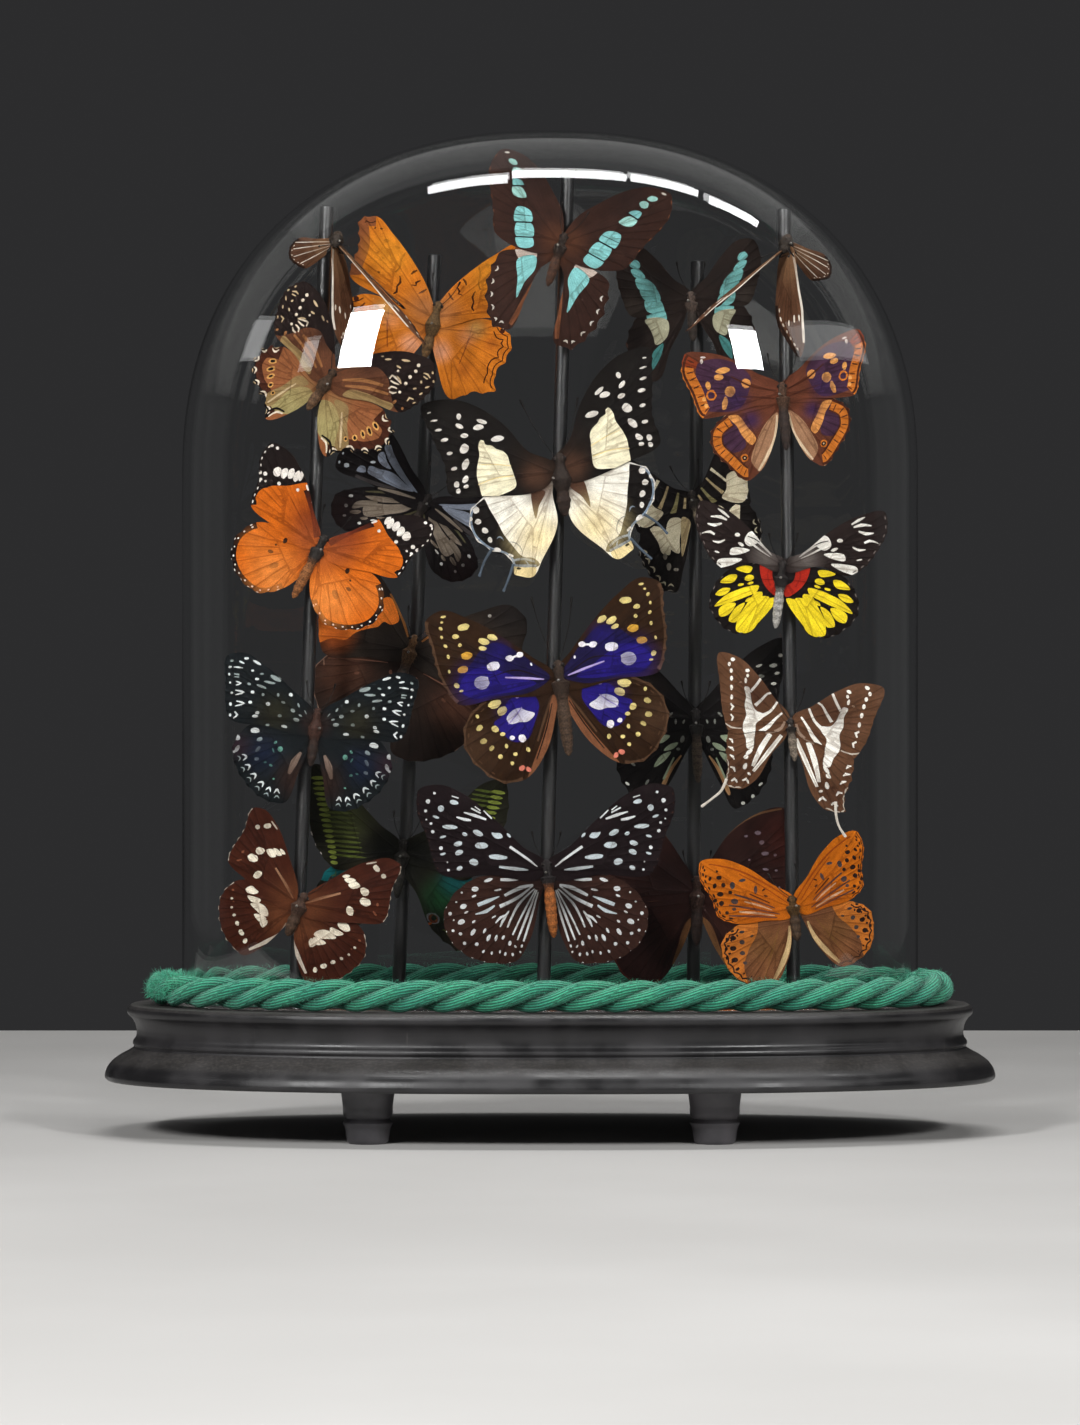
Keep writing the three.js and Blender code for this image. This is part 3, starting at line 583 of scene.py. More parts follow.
# Every specimen, from the front, in millimetres from its thorax. Outlines, tips, lifts and bodies are
# those of the solids. margin gives the corners between which each wing's outer margin runs, teeth the
# scallops of fore and hind margins, and veins how many run to each. Each mark is its kind, a colour
# and the values of the wing's method of that name, drawn in order, the later over the earlier. A glow
# tints what is drawn already, and its values are x, z, reach and strength.
SPECIMENS = [{
    "name": "brown_lacewing", "rod": 0, "at": [-89, 297.5],
    "fore": [[0, 3], [10, 9], [22, 12.5], [34, 12.5], [43, 8], [44, 1], [39, -6], [31, -11], [18, -7],
     [2, -2]],
    "hind": [[1, -2], [12, -5], [23, -10], [28, -18], [25, -25], [16, -28], [7, -27], [0.5, -28.5],
     [-3, -17], [-1, -5]],
    "tips": [[43, 8], [0.5, -28.5]], "far_tips": [[-9, 41], [-24, -13]], "lift": [4, 1, -3, -4],
    "body": [[4, 6], [-7, -10], 3], "margin": [[4, 7], [2, 7]], "teeth": [0.6, 2.2], "veins": [8, 8],
    "ground": ["ground", "orange"], "body_tints": ["4a3626", "7a5a40"],
    "colours": {"ground": "684430", "dark": "221613", "white": "e4d8c6", "cream": "cdb896",
     "olive": "97805a", "orange": "986442", "rust": "4c2a1c", "ring": "d8a868", "fold": "a5996c",
     "black": "170f0c", "tan": "9a6e48"},
    "fore_marks": [
        ("patches", "dark", [(8, 9), (20, 14), (36, 14), (46, 9), (46, 0), (40, -8), (32, -13), (28, -10),
         (26, -4), (25, 2), (21, 6.5), (14, 7)]),
        ("patches", "olive", [(9, -2.4), (16, -3.4), (22, -6), (27, -8.6), (26, -10), (20, -8), (13, -6.2),
         (7, -4)]),
        ("lines", "tan", [(7, 1.6, 0.4), (15, 1.6, 0.8), (23, -0.6, 0.5)], [(8, -0.6, 0.3), (16, -1.4, 0.7),
         (25, -4, 0.5)]),
        ("spots", "white", (37, 7.4, 0.75), (35.9, 5, 0.75), (33.7, 2.8, 0.75), (32, 0.2, 0.75),
         (29.6, -3.2, 0.6), (28.9, 5.2, 0.5)),
        ("spots", "cream", (25, 9.8, 1.3, 0.4), (22.8, 11, 0.6, 0.3), (32, 9.3, 1.7, 0.5, 170),
         (29.2, 6.8, 1.1, 0.4, 150)),
        ("lines", "white", [(25.5, 2.2, 0.25), (26.6, 3.4, 0.4), (28.6, 1.8, 0.35), (30.2, 0.2, 0.2)],
         [(26, 1.4, 0.25), (27.6, 0.4, 0.35), (29.4, -0.2, 0.2)]),
        ("lines", "cream", [(28.4, 3.2, 0.15), (29.7, 1.6, 0.35), (30.1, 0, 0.15)]),
        ("lines", "white", [(25.1, -1.8, 0.25), (26.3, -1, 0.4), (28.5, -1.8, 0.25)], [(25.4, -2.9, 0.3),
         (26.8, -3.5, 0.4), (28.3, -3.3, 0.2)]),
        ("lines", "cream", [(39, 4.3, 0.2), (40.7, 3.7, 0.35), (41.6, 2.3, 0.2)], [(39, 3, 0.2),
         (40.6, 1.8, 0.3)], [(32.4, -6.8, 0.2), (33.4, -5.4, 0.4), (35, -6, 0.2)]),
        ("spots", "cream", (38, 0.8, 0.6, 0.45, 90), (40.4, -1.2, 1, 0.35, 20), (37.9, -3.8, 0.8, 0.35, 30),
         (35.5, -1.8, 0.8, 0.4, 10), (42.6, 4.4, 0.4, 0.6), (42.9, 1, 0.4, 0.6), (35.2, -7.4, 0.7, 0.3, 20)),
        ("spots", "tan", (30.6, -9.6, 0.7, 0.5, 90), (27.5, -7, 1, 0.6, 40)),
        ("glow", "dark", 18, 9, 10, 0.6)],
    "hind_marks": [
        ("band", "rust", -0.6, 5.5),
        ("band", "black", -0.6, 2.4, 0.2, 1),
        ("patches", "fold", [(-1, -6), (2.4, -7), (5, -11), (5.6, -18), (5, -24.6), (1.4, -23.6),
         (-2, -20.6), (-3.8, -15)]),
        ("patches", "olive", [(4, -6), (8.6, -8), (8.8, -16), (8, -26), (5, -26), (5.6, -14)]),
        ("spots", "ring", (20, -16.4, 1.1, 2, 30), (17.5, -18.4, 1.1, 2.1, 20), (14.9, -19.6, 1, 1.8, 10),
         (11.7, -21.1, 1.1, 1.3), (8.2, -21.5, 0.9, 1.1)),
        ("spots", "black", (20, -16.4, 0.6, 1.2, 30), (17.5, -18.4, 0.6, 1.3, 20), (14.9, -19.6, 0.5, 1, 10),
         (11.7, -21.1, 0.6, 0.8), (8.2, -21.5, 0.5, 0.6)),
        ("lunes", "white", 7, 1.5, 1.7, 0.4, 1.3),
        ("lunes", "cream", 7, 0.5, 1.4, 0.2, 0.8),
        ("lines", "white", [(-1.6, -21, 0.3), (0.4, -23, 0.45), (0.4, -27, 0.2)]),
        ("lines", "black", [(-1.4, -20, 0.3), (1.8, -22.6, 0.5), (2.4, -27, 0.3)]),
        ("lines", "cream", [(6.6, -11, 0.25), (6.4, -18, 0.45), (5.9, -25, 0.3)]),
        ("glow", "olive", 3, -8, 10, 0.5)],
}, {
    "name": "plain_tiger", "rod": 0, "at": [-91.5, 232],
    "fore": [[0, 3], [-2, 16], [-6, 30], [-13, 40], [-19, 42.5], [-23, 38], [-24, 28], [-27, 18],
     [-19, 10.5], [-2, 1]],
    "hind": [[-1, 2], [-14, 9], [-25, 11], [-33, 6], [-35.5, -2], [-32, -11], [-24, -17], [-14, -15],
     [-5, -8], [-1, -3]],
    "tips": [[-19, 42.5], [-24, -17]], "far_tips": [[45.5, 10], [2, -29]], "lift": [-2, -5, 3, 2],
    "body": [[3, 6], [-10, -19], 3], "margin": [[4, 7], [2, 7]], "teeth": [0.3, -0.7], "veins": [6, 7],
    "ground": ["ground", "ground"], "body_tints": ["2a2420", "b07040"],
    "colours": {"black": "1c1210", "white": "ece6df", "ground": "cf7020", "pale": "ee9a52",
     "flush": "7c3a22", "dusk": "9c5a3c"},
    "fore_marks": [
        ("patches", "black", [(-1, 20), (-3, 26), (-12, 25.5), (-20, 25), (-24, 22), (-27.5, 18), (-29, 30),
         (-24, 44), (-12, 44), (-3, 34)]),
        ("lines", "black", [(-0.5, 5, 1.2), (-2, 16, 1.3), (-4, 24, 2)]),
        ("band", "black", -0.6, 2.4),
        ("patches", "ground", [(-22, 24.5), (-25, 20), (-22, 18), (-18, 21), (-19, 24.5)]),
        ("spots", "white", (-16.3, 31, 2, 1.6, 80), (-13.5, 30.5, 2.2, 1.4, 70), (-10.8, 30.3, 2.2, 1.3, 70),
         (-8.6, 29.2, 2.3, 1.2, 65), (-6.8, 29.4, 2.2, 0.9, 70), (-4.3, 24.6, 1.3, 0.5, 110),
         (-2.2, 19, 0.8, 0.5, 100), (-18.6, 41.4, 0.6), (-16.4, 40.4, 0.7), (-21.2, 30.4, 0.9),
         (-22.9, 28.2, 0.6), (-21, 27.4, 0.5), (-15.6, 26.4, 0.8), (-8.2, 23.8, 0.7), (-23.4, 30.6, 0.5)),
        ("row", "white", 9, 0.9, 0.7, 0.28),
        ("glow", "flush", -2, 12, 16, 0.85),
        ("glow", "dusk", -4, 3, 13, 0.5)],
    "hind_marks": [
        ("band", "black", -0.6, 2.3),
        ("row", "white", 12, 1.3, 0.45, 0.35),
        ("row", "white", 11, 0.3, 0.6, 0.22),
        ("spots", "black", (-13.3, 3.8, 1.2, 0.9, 60), (-19.2, -0.5, 1.1, 0.8, 160), (-17.8, -6, 2, 1.2, 20),
         (-17, 2.2, 0.5)),
        ("glow", "pale", -18, -10, 17, 0.75),
        ("glow", "dusk", -2, 0, 13, 0.55),
        ("glow", "pale", -26, 4, 9, 0.3)],
}, {
    "name": "blue_cracker", "rod": 0, "at": [-92.5, 161.5],
    "fore": [[0, 5], [-9, 15], [-19, 24], [-29, 30], [-35, 29], [-36, 18], [-34, 4], [-20, 1], [-1, -1]],
    "hind": [[-1, 1], [-14, 2], [-27, 1], [-33, -6], [-32, -15], [-27, -23], [-19, -29], [-13, -29.5],
     [-7, -18], [-2, -5]],
    "tips": [[-35, 29], [-13, -29.5]], "far_tips": [[40, 19.5], [6, -32]], "lift": [-5, 1, 3, 2],
    "body": [[1, 8], [-2, -15], 3], "margin": [[4, 6], [2, 7]], "teeth": [0.4, 0.6], "veins": [7, 8],
    "ground": ["ground", "ground"], "body_tints": ["43291f", "35251e"],
    "colours": {"ground": "14191c", "white": "dfe3e3", "pale": "9fa9a8", "blue": "1a2238", "olive": "34301c",
     "aqua": "76a998", "maroon": "34202a", "fold": "8d7b70", "brown": "3e2a22"},
    "fore_marks": [
        ("spots", "white", (-27.5, 27.7, 1, 0.5), (-29.4, 26.2, 1.2, 0.4, 155), (-23.2, 26, 1.8, 0.5, 150),
         (-25, 22.8, 0.6, 0.5), (-34, 24.3, 0.7, 0.5), (-23.2, 19.5, 0.9, 0.5)),
        ("spots", "pale", (-33.3, 26.8, 0.7, 0.5, 20), (-15.8, 19.7, 2.4, 0.8, 152),
         (-13.3, 19.8, 1.4, 0.5, 155), (-18.2, 18.1, 2.4, 0.5, 168), (-21.4, 16.5, 2.2, 0.5, 158),
         (-21.3, 21.5, 0.8, 0.4)),
        ("spots", "white", (-25, 14.3, 0.8, 0.7), (-25.8, 10.3, 0.8, 0.6), (-18.8, 9.6, 0.9, 0.8),
         (-9.8, 13.2, 0.9, 0.7, 150), (-23, 6.1, 0.9, 0.6), (-23.9, 4.8, 1.2, 0.6),
         (-12.4, 0.7, 1.2, 0.6, 165)),
        ("spots", "pale", (-14.8, 13.2, 0.5, 0.8), (-20.8, 13.3, 0.6), (-6.7, 9, 0.4, 0.9, 20),
         (-12.8, 10.2, 0.9, 0.5, 160), (-9, 7, 1, 0.7, 150), (-14.2, 4.9, 0.9, 0.7),
         (-7.6, 3.3, 1.3, 0.7, 160), (-6, 5, 0.8, 0.4, 150), (-4, 6.3, 0.2, 1, 25), (-19, 1.3, 0.8, 0.5),
         (-26.4, 17.6, 0.8, 0.5, 160)),
        ("lines", "white", [(-32.6, 24.3, 0.15), (-30.5, 24.2, 0.35), (-28.9, 23.9, 0.1)]),
        ("lines", "pale", [(-32.4, 21.6, 0.2), (-30.3, 21.3, 0.4)], [(-32.2, 20.5, 0.2),
         (-30.4, 20.3, 0.25)]),
        ("lines", "white", [(-31.6, 18.6, 0.2), (-29.6, 17.9, 0.4), (-31.6, 17.1, 0.2)],
         [(-31.8, 15.1, 0.15), (-28.5, 14.3, 0.45), (-31.8, 13.2, 0.15)], [(-31.4, 10.8, 0.15),
         (-28.3, 9.9, 0.45), (-31.9, 8.8, 0.15)], [(-32, 6.7, 0.3), (-31, 5.3, 0.45), (-32.6, 4, 0.2)]),
        ("spots", "white", (-34.3, 21.4, 0.45, 0.6), (-33.9, 18.1, 0.4, 0.5), (-33.2, 14, 0.5),
         (-33.7, 9.6, 0.55, 0.8), (-33.8, 5.3, 0.5, 0.7)),
        ("glow", "olive", -16, 6, 12, 0.6),
        ("glow", "brown", -1, 2, 8, 0.6)],
    "hind_marks": [
        ("glow", "blue", -21, -10, 11, 0.85),
        ("glow", "maroon", -31, -7, 8, 0.7),
        ("glow", "brown", -8, -20, 12, 0.7),
        ("spots", "white", (-24, -0.8, 1.9, 1.1), (-31, -3.6, 1.1, 1.2), (-31.1, -8, 0.8, 1.6, 150),
         (-32.3, -9.2, 0.5, 0.6)),
        ("spots", "pale", (-22.2, -4.3, 1.2, 0.8, 20), (-22.8, -8.2, 0.7, 1.4, 140), (-23.3, -12.1, 1, 0.7)),
        ("spots", "aqua", (-14, -8.2, 1, 1.1), (-16.8, -8.7, 0.35, 1, 20), (-15.9, -5.6, 0.8, 0.5, 40),
         (-20, -13.4, 0.6, 0.4), (-17.8, -14.6, 0.7, 0.5, 150), (-16.6, -20, 0.5, 0.4)),
        ("lunes", "white", 6, 3.9, 1.5, 0.42, 1.6, 0.3),
        ("lunes", "pale", 6, 2, 1.2, 0.28, 1, 0.3),
        ("lines", "fold", [(-5.8, -9.5, 0.4), (-8.5, -13.5, 1.4), (-10.6, -18, 0.5)])],
}, {
    "name": "white_banded_brown", "rod": 0, "at": [-99.5, 91.5],
    "fore": [[0, 3], [-3, 18], [-8, 31], [-14, 38], [-18, 38.5], [-22, 30], [-28, 17], [-22, 11], [-1, 0]],
    "hind": [[-1, 1], [-14, 9], [-26, 9], [-32, 3], [-32.5, -5], [-28, -16], [-23, -20], [-13, -15.5],
     [-6, -9], [-1, -3]],
    "tips": [[-18, 38.5], [-23, -20]], "far_tips": [[40.5, 16], [4, -30.5]], "lift": [-6, -9, 2, 1],
    "body": [[3, 5], [-4, -12], 3.4], "margin": [[4, 6], [2, 6]], "teeth": [0.5, 0.7], "veins": [7, 8],
    "ground": ["ground", "ground"], "body_tints": ["4a3428", "5d4433"],
    "colours": {"ground": "4a2618", "cream": "f2ead8", "tan": "a58066", "edge": "cdc3b6", "inner": "74492f",
     "dull": "8a5a44", "dark": "35170f"},
    "fore_marks": [
        ("glow", "inner", -3, 3, 14, 0.6),
        ("glow", "dark", -17, 30, 14, 0.5),
        ("lines", "tan", [(-1.6, 2.8, 0.2), (-4.5, 8, 0.55), (-8.8, 14.8, 0.35)]),
        ("spots", "cream", (-16.2, 30.9, 1.1, 0.9), (-12.2, 31.3, 1.5, 1.1, 10), (-15.1, 21.4, 1.9, 1.5),
         (-17.9, 18.6, 2.1, 1.6, 160), (-15.9, 12, 2, 1.4, 30)),
        ("patches", "cream", [(-12.4, 22), (-10, 22.2), (-8.6, 19.2), (-10.4, 18.9)], [(-9.6, 22.6),
         (-8, 22.2), (-6.2, 19.7), (-7.9, 19.6)], [(-6.9, 22.4), (-5.3, 21.6), (-4.8, 20.1), (-6.1, 20.2)]),
        ("spots", "dull", (-22, 21, 0.8, 0.5, 40), (-23.5, 17.7, 1.2, 0.4, 10)),
        ("lines", "edge", [(-10.6, 33.2, 0.2), (-9.4, 31.6, 0.35), (-8.2, 30, 0.2)]),
        ("band", "edge", -0.6, 0.4, 0.02, 0.98)],
    "hind_marks": [
        ("glow", "inner", -6, -5, 14, 0.75),
        ("glow", "dark", -28, -4, 10, 0.5),
        ("spots", "cream", (-17.2, 8.3, 1, 0.5, 150), (-18.2, 5.9, 2.9, 1.7)),
        ("patches", "cream", [(-20.3, 3.6), (-17.8, 3.3), (-14.8, 1.9), (-15.4, 1), (-18.8, 1.3)],
         [(-19.2, 0.5), (-16, 0.8), (-13.2, -0.6), (-12, -2.6), (-12, -4.4), (-14.4, -4.1), (-16.6, -2.4)],
         [(-17.8, -3.7), (-13.3, -4.6), (-12.6, -5.3), (-15.2, -6.7)], [(-15.4, -7), (-12.2, -6),
         (-12.5, -7.8), (-14.3, -9)]),
        ("spots", "cream", (-26.8, 2.4, 0.6, 0.5), (-27, -1.2, 0.6, 0.5), (-26, -4.2, 0.8, 0.6),
         (-24.6, -7.4, 1, 0.8, 120), (-23, -11, 1.3, 1, 120), (-21.6, -14.4, 1.2, 0.9, 50)),
        ("spots", "dull", (-26.3, 5.8, 0.6, 0.5), (-26.2, 1.2, 0.4, 0.3)),
        ("band", "edge", -0.6, 0.4, 0, 0.95),
        ("lines", "edge", [(-4.6, -7, 0.3), (-6.4, -10.6, 0.8), (-13, -14.6, 0.8), (-20, -17.8, 0.4)])],
}, {
    "name": "orange_cruiser", "rod": 1, "at": [-47.5, 323.5],
    "fore": [[1, 5], [5, 11], [15, 20.5], [26, 28], [34, 32], [39, 29], [36, 18], [34, 5], [18, 2], [1, 0]],
    "hind": [[1, 2], [14, 2.5], [27, 0], [32.5, -6], [30, -15], [26, -20], [25.5, -27], [16, -28], [8, -30],
     [2, -16], [0, -5]],
    "tips": [[34, 32], [8, -30]], "far_tips": [[-22, 43], [-20, -23]], "lift": [0, 2, 3, 3],
    "body": [[3, 9], [-3, -14], 3.2], "margin": [[4, 7], [2, 8]], "teeth": [0.9, 1], "veins": [7, 8],
    "ground": ["ground", "ground"], "body_tints": ["6a5030", "80603c"],
    "colours": {"ground": "cb7c28", "bright": "dc9430", "dark": "4a2410", "edge": "8a5636", "base": "a0704c",
     "pink": "dba283", "rust": "9a5620", "buff": "b89a62"},
    "fore_marks": [
        ("glow", "bright", 24, 20, 14, 0.9),
        ("glow", "base", 4, 5, 12, 0.8),
        ("band", "edge", -0.6, 4.4),
        ("wave", "dark", 7, 4.6, 1.5, 0.28),
        ("wave", "dark", 7, 2, 1, 0.22),
        ("lines", "dark", [(12.6, 18, 0.3), (13.6, 16.8, 0.5), (14, 15.4, 0.25)], [(10, 14.6, 0.2),
         (11.2, 13, 0.45), (10.8, 12, 0.3), (12.4, 11.4, 0.2)], [(6.8, 12.4, 0.2), (7.8, 10.6, 0.45),
         (8.8, 9.4, 0.2)], [(19, 22.6, 0.3), (19.6, 19.4, 0.45), (18.8, 16, 0.3), (19.6, 13.6, 0.3)],
         [(17.6, 13, 0.2), (16.4, 10.6, 0.45), (16.9, 8.6, 0.3), (16.2, 6.4, 0.45), (17, 5, 0.2)]),
        ("spots", "dark", (27, 24.1, 1, 0.8), (30.5, 28, 0.6, 0.5), (22.6, 23.4, 1, 0.7),
         (25.6, 17, 0.6, 0.5), (25, 11, 0.6, 0.5))],
    "hind_marks": [
        ("glow", "base", 4, 0, 9, 0.6),
        ("glow", "pink", 3.5, -11, 7, 0.9),
        ("glow", "buff", 18, -2, 6, 0.7),
        ("glow", "rust", 24, -8, 4, 0.8),
        ("glow", "rust", 13, -18, 6, 0.6),
        ("glow", "pink", 14, -5, 6, 0.4),
        ("wave", "dark", 8, 3.6, 1.3, 0.26),
        ("wave", "dark", 8, 1.5, 0.9, 0.22),
        ("lines", "rust", [(16.5, 0, 0.15), (14.6, -7, 0.3), (11, -16, 0.2)]),
        ("spots", "dark", (28.4, -2.8, 1, 1.2))],
}, {
    "name": "glassy_tiger", "rod": 1, "at": [-50, 251.5],
    "fore": [[0, 3], [-6, 15], [-13, 28], [-20, 36], [-27, 35], [-33, 24], [-36, 15], [-24, 9], [-1, 0]],
    "hind": [[0, 1], [-14, 6], [-28, 6.5], [-36, 4], [-38, -2], [-35, -9], [-28, -12], [-12, -8], [-1, -3]],
    "tips": [[-20, 36], [-38, -2]], "far_tips": [[41, 3], [17, -30]], "lift": [1, 3, 1, 3],
    "body": [[2, 4], [-8, -14], 2.6], "margin": [[3, 6], [2, 6]], "teeth": [0.3, 0.4], "veins": [7, 7],
    "ground": ["black", "black"], "body_tints": ["241d1a", "4a3e34"],
    "colours": {"black": "191314", "glass": "8d94a2", "pale": "c4c9cf", "tan": "867b6f", "smoke": "4d4848",
     "white": "e2e2df", "olive": "5f5a44", "maroon": "231413"},
    "fore_marks": [
        ("patches", "glass", [(-3.3, 4.4), (-8, 11.6), (-13, 21), (-14.2, 24), (-16, 23.6), (-15.4, 19.4),
         (-12, 13.2), (-7, 7.4)], [(-13.8, 14), (-15.4, 17), (-17, 21), (-18.8, 20), (-18.8, 17.4),
         (-16.6, 15)], [(-4.8, 5), (-9, 9), (-13.2, 12.6), (-18, 13.9), (-22.6, 15), (-23.2, 13),
         (-20, 10.6), (-14, 7.6), (-8, 5.4)], [(-23.8, 13), (-27.6, 13.3), (-26, 15.4), (-24.2, 15)]),
        ("spots", "pale", (-21, 16.8, 1.1, 0.5), (-31.5, 15.6, 1.1, 0.9), (-20.4, 24, 0.9, 0.7, 40),
         (-22.8, 27, 0.7, 0.5, 30), (-25.6, 30.4, 0.6, 0.5), (-29, 24.8, 0.6, 0.5)),
        ("lines", "tan", [(-4, 2.2, 0.2), (-11, 4.4, 0.7), (-19, 6.4, 0.3)]),
        ("lines", "smoke", [(-12, 6.2, 0.3), (-20, 8.2, 0.8), (-28, 11.4, 0.6)]),
        ("row", "pale", 7, 1.6, 0.6, 0.4)],
    "hind_marks": [
        ("glow", "maroon", -34, -2, 13, 0.8),
        ("patches", "tan", [(-3.6, 0.4), (-12, 2), (-18, 3), (-24, 3), (-22, 1.8), (-12, 0.4)], [(-4.6, -1),
         (-14, -0.2), (-25, -1.6), (-25, -3.6), (-14, -4), (-7, -2.6)], [(-19, 0.5), (-28.4, 0.3),
         (-29.4, -1.4), (-24, -0.9)]),
        ("spots", "tan", (-28, -3.2, 2.4, 0.8), (-24.6, -5.8, 1.6, 0.6), (-17, -5.8, 3, 0.5, 170)),
        ("lines", "olive", [(-3, -2.6, 0.2), (-8, -4.6, 0.5), (-13, -6.4, 0.3)], [(-8, 2.6, 0.2),
         (-16, 4.6, 0.5), (-24, 5, 0.2)]),
        ("spots", "white", (-29.8, 3.3, 1, 0.6), (-31.7, -0.6, 0.8, 0.7), (-32.4, -4.6, 0.7, 0.5),
         (-26.4, -7.7, 0.8, 0.6), (-20.8, -6.6, 1.3, 0.4))],
}, {
    "name": "leaf", "rod": 1, "at": [-56, 192],
    "fore": [[0, 4], [-4, 16], [-11, 29], [-20, 39], [-27, 38], [-33, 27], [-37, 10], [-35, 0], [-18, -2],
     [-1, -2]],
    "hind": [[-1, 0], [-18, -1], [-33, -1], [-39, -7], [-38, -20], [-33, -30], [-25, -37], [-19, -38],
     [-11, -24], [-2, -7]],
    "tips": [[-20, 39], [-19, -38]], "far_tips": [[41, 18.5], [-7, -41]], "lift": [2, 0, 3, 1],
    "body": [[2, 7], [-6, -18], 3.2], "margin": [[3, 7], [2, 7]], "teeth": [0.3, 0.4], "veins": [7, 8],
    "ground": ["ground", "brown"], "body_tints": ["6a4a2c", "4a382c"],
    "colours": {"ground": "332b25", "orange": "f08a38", "rust": "c4682c", "dark": "211c1b", "edge": "9a6a3c",
     "warm": "5a3c2e", "brown": "33261f", "spot": "8a6453", "white": "dcd6cc", "rim": "a08474"},
    "fore_marks": [
        ("glow", "dark", -22, 36, 16, 0.9),
        ("patches", "orange", [(-40, 13.5), (-30, 15), (-20, 16.5), (-13, 20.5), (-8.2, 22), (-5.8, 18),
         (-5, 12), (-8, 11), (-10.6, 12.2), (-13, 10.2), (-16, 9.6), (-22, 7.8), (-26, 5), (-31, 5.6),
         (-40, 3)]),
        ("glow", "rust", -30, 8, 12, 0.7),
        ("lines", "edge", [(-1, 6, 0.3), (-3.4, 14, 0.6), (-8, 23.4, 0.3)]),
        ("spots", "white", (-15.4, 30.4, 0.7)),
        ("glow", "dark", -8, 3, 10, 0.35)],
    "hind_marks": [
        ("glow", "warm", -27, -7, 17, 0.9),
        ("glow", "dark", -22, -32, 18, 0.6),
        ("band", "rim", -0.5, 0.45, 0, 0.5),
        ("spots", "spot", (-21.6, -8.3, 1.1, 0.8), (-8, -8, 0.7, 1)),
        ("lines", "rim", [(-34.8, -1.4, 0.15), (-34.6, -5.4, 0.25)]),
        ("lines", "spot", [(-33, -2.4, 0.2), (-20, -3, 0.3), (-9, -4.2, 0.15)])],
}, {
    "name": "green_swallowtail", "rod": 1, "at": [-59.5, 110],
    "fore": [[0, 4], [-9, 13], [-19, 24], [-29, 35], [-35, 37], [-38, 30], [-37.5, 14], [-34, 3], [-27, -5],
     [-12, -3], [-1, -1]],
    "hind": [[-1, 1], [-14, 0], [-26, -2], [-33, -9], [-35, -19], [-33, -28], [-28, -34], [-21, -31],
     [-16, -27], [-8, -14], [-1, -5]],
    "tips": [[-35, 37], [-16, -27]], "far_tips": [[41, 31], [12, -29.5]], "lift": [2, 1, 3, 2],
    "body": [[1, 7], [-2, -17], 3.2], "margin": [[4, 8], [2, 8]], "teeth": [0.4, 0.8], "veins": [8, 8],
    "ground": ["ground", "ground"], "body_tints": ["2a2620", "34302a"],
    "colours": {"ground": "26251a", "green": "8a9648", "dim": "5c6630", "dull": "363a1e", "white": "d8cdc8",
     "teal": "1a6c70", "leaf": "1e4a2c", "grey": "77757c", "rust": "6a2c14", "black": "120c0a",
     "orange": "b06030", "night": "141512"},
    "fore_marks": [
        ("glow", "night", -8, 1, 12, 0.8),
        ("glow", "dull", -22, 14, 14, 0.8),
        ("bars", "dim", 17, (-28.5, 31, 4.8, 0), (-21, 0, 7, -6), 0.5),
        ("bars", "green", 17, (-33.6, 31.4, 2.8, 0), (-27, -2.6, 1.6, -8), 0.66),
        ("spots", "white", (-36.2, 9, 0.4, 1, 20), (-34.8, 4.6, 0.4, 0.9, 15), (-32.6, 1.2, 0.35, 0.8, 40))],
    "hind_marks": [
        ("glow", "leaf", -18, -14, 13, 0.95),
        ("glow", "night", -5, -6, 8, 0.7),
        ("patches", "teal", [(-33.5, -9), (-30, -3), (-22, -1.6), (-13, -0.6), (-13, -2.2), (-20, -4.6),
         (-25.6, -6.8), (-30, -10)]),
        ("glow", "teal", -22, -7, 9, 0.65),
        ("spots", "grey", (-15.8, -22.5, 2.7, 2.2, 20)),
        ("spots", "rust", (-15.8, -22.6, 2.1, 1.7, 20)),
        ("spots", "black", (-16, -22.4, 1.1)),
        ("spots", "orange", (-14.6, -24.9, 1.2, 0.5, 160)),
        ("lunes", "dim", 6, 3, 1.6, 0.35, 1)],
}, {
    "name": "bluebottle_front", "rod": 2, "at": [4, 352.5],
    "fore": [[1, 4], [1, 13], [-3, 22], [-9, 32], [-16, 38], [-24, 39.5], [-27, 36], [-27, 15], [-26, 6],
     [-20, 1], [-1, -1]],
    "hind": [[-1, 0], [-14, -1], [-24, -2], [-29, -10], [-30, -24], [-27, -32], [-21, -33], [-14, -21],
     [-8, -9], [-2, -4]],
    "tips": [[-24, 39.5], [-27, -32]], "far_tips": [[44, 20], [4, -41.5]], "lift": [-12, 1, 1, 3],
    "body": [[2, 5], [-5, -16], 2.8], "margin": [[5, 8], [2, 6]], "teeth": [0.4, 1.3], "veins": [7, 6],
    "ground": ["ground", "ground"], "body_tints": ["2c2019", "5a3c2c"],
    "colours": {"ground": "39251e", "band": "8cc6c6", "pale": "a9d6cf", "cream": "cbbcb2",
     "silver": "c9c4bc", "tan": "7a5038", "dark": "1d1413"},
    "fore_marks": [
        ("glow", "tan", -2, 3, 10, 0.4),
        ("glow", "dark", -10, 30, 16, 0.5),
        ("patches", "band", [(-18.6, 27.6), (-15.4, 26.6), (-14.4, 24.9), (-18.8, 24.8)]),
        ("patches", "pale", [(-19, 24.2), (-15.5, 23.9), (-13.4, 19.7), (-18.7, 21)]),
        ("patches", "band", [(-17, 16), (-11.6, 14), (-11, 10.2), (-18.2, 10.3)], [(-17.3, 9.5), (-11, 8.6),
         (-10.6, 3.8), (-17.6, 4.4)], [(-17.8, 3.5), (-10.8, 3.1), (-10.5, 0.3), (-16.8, 0.1)]),
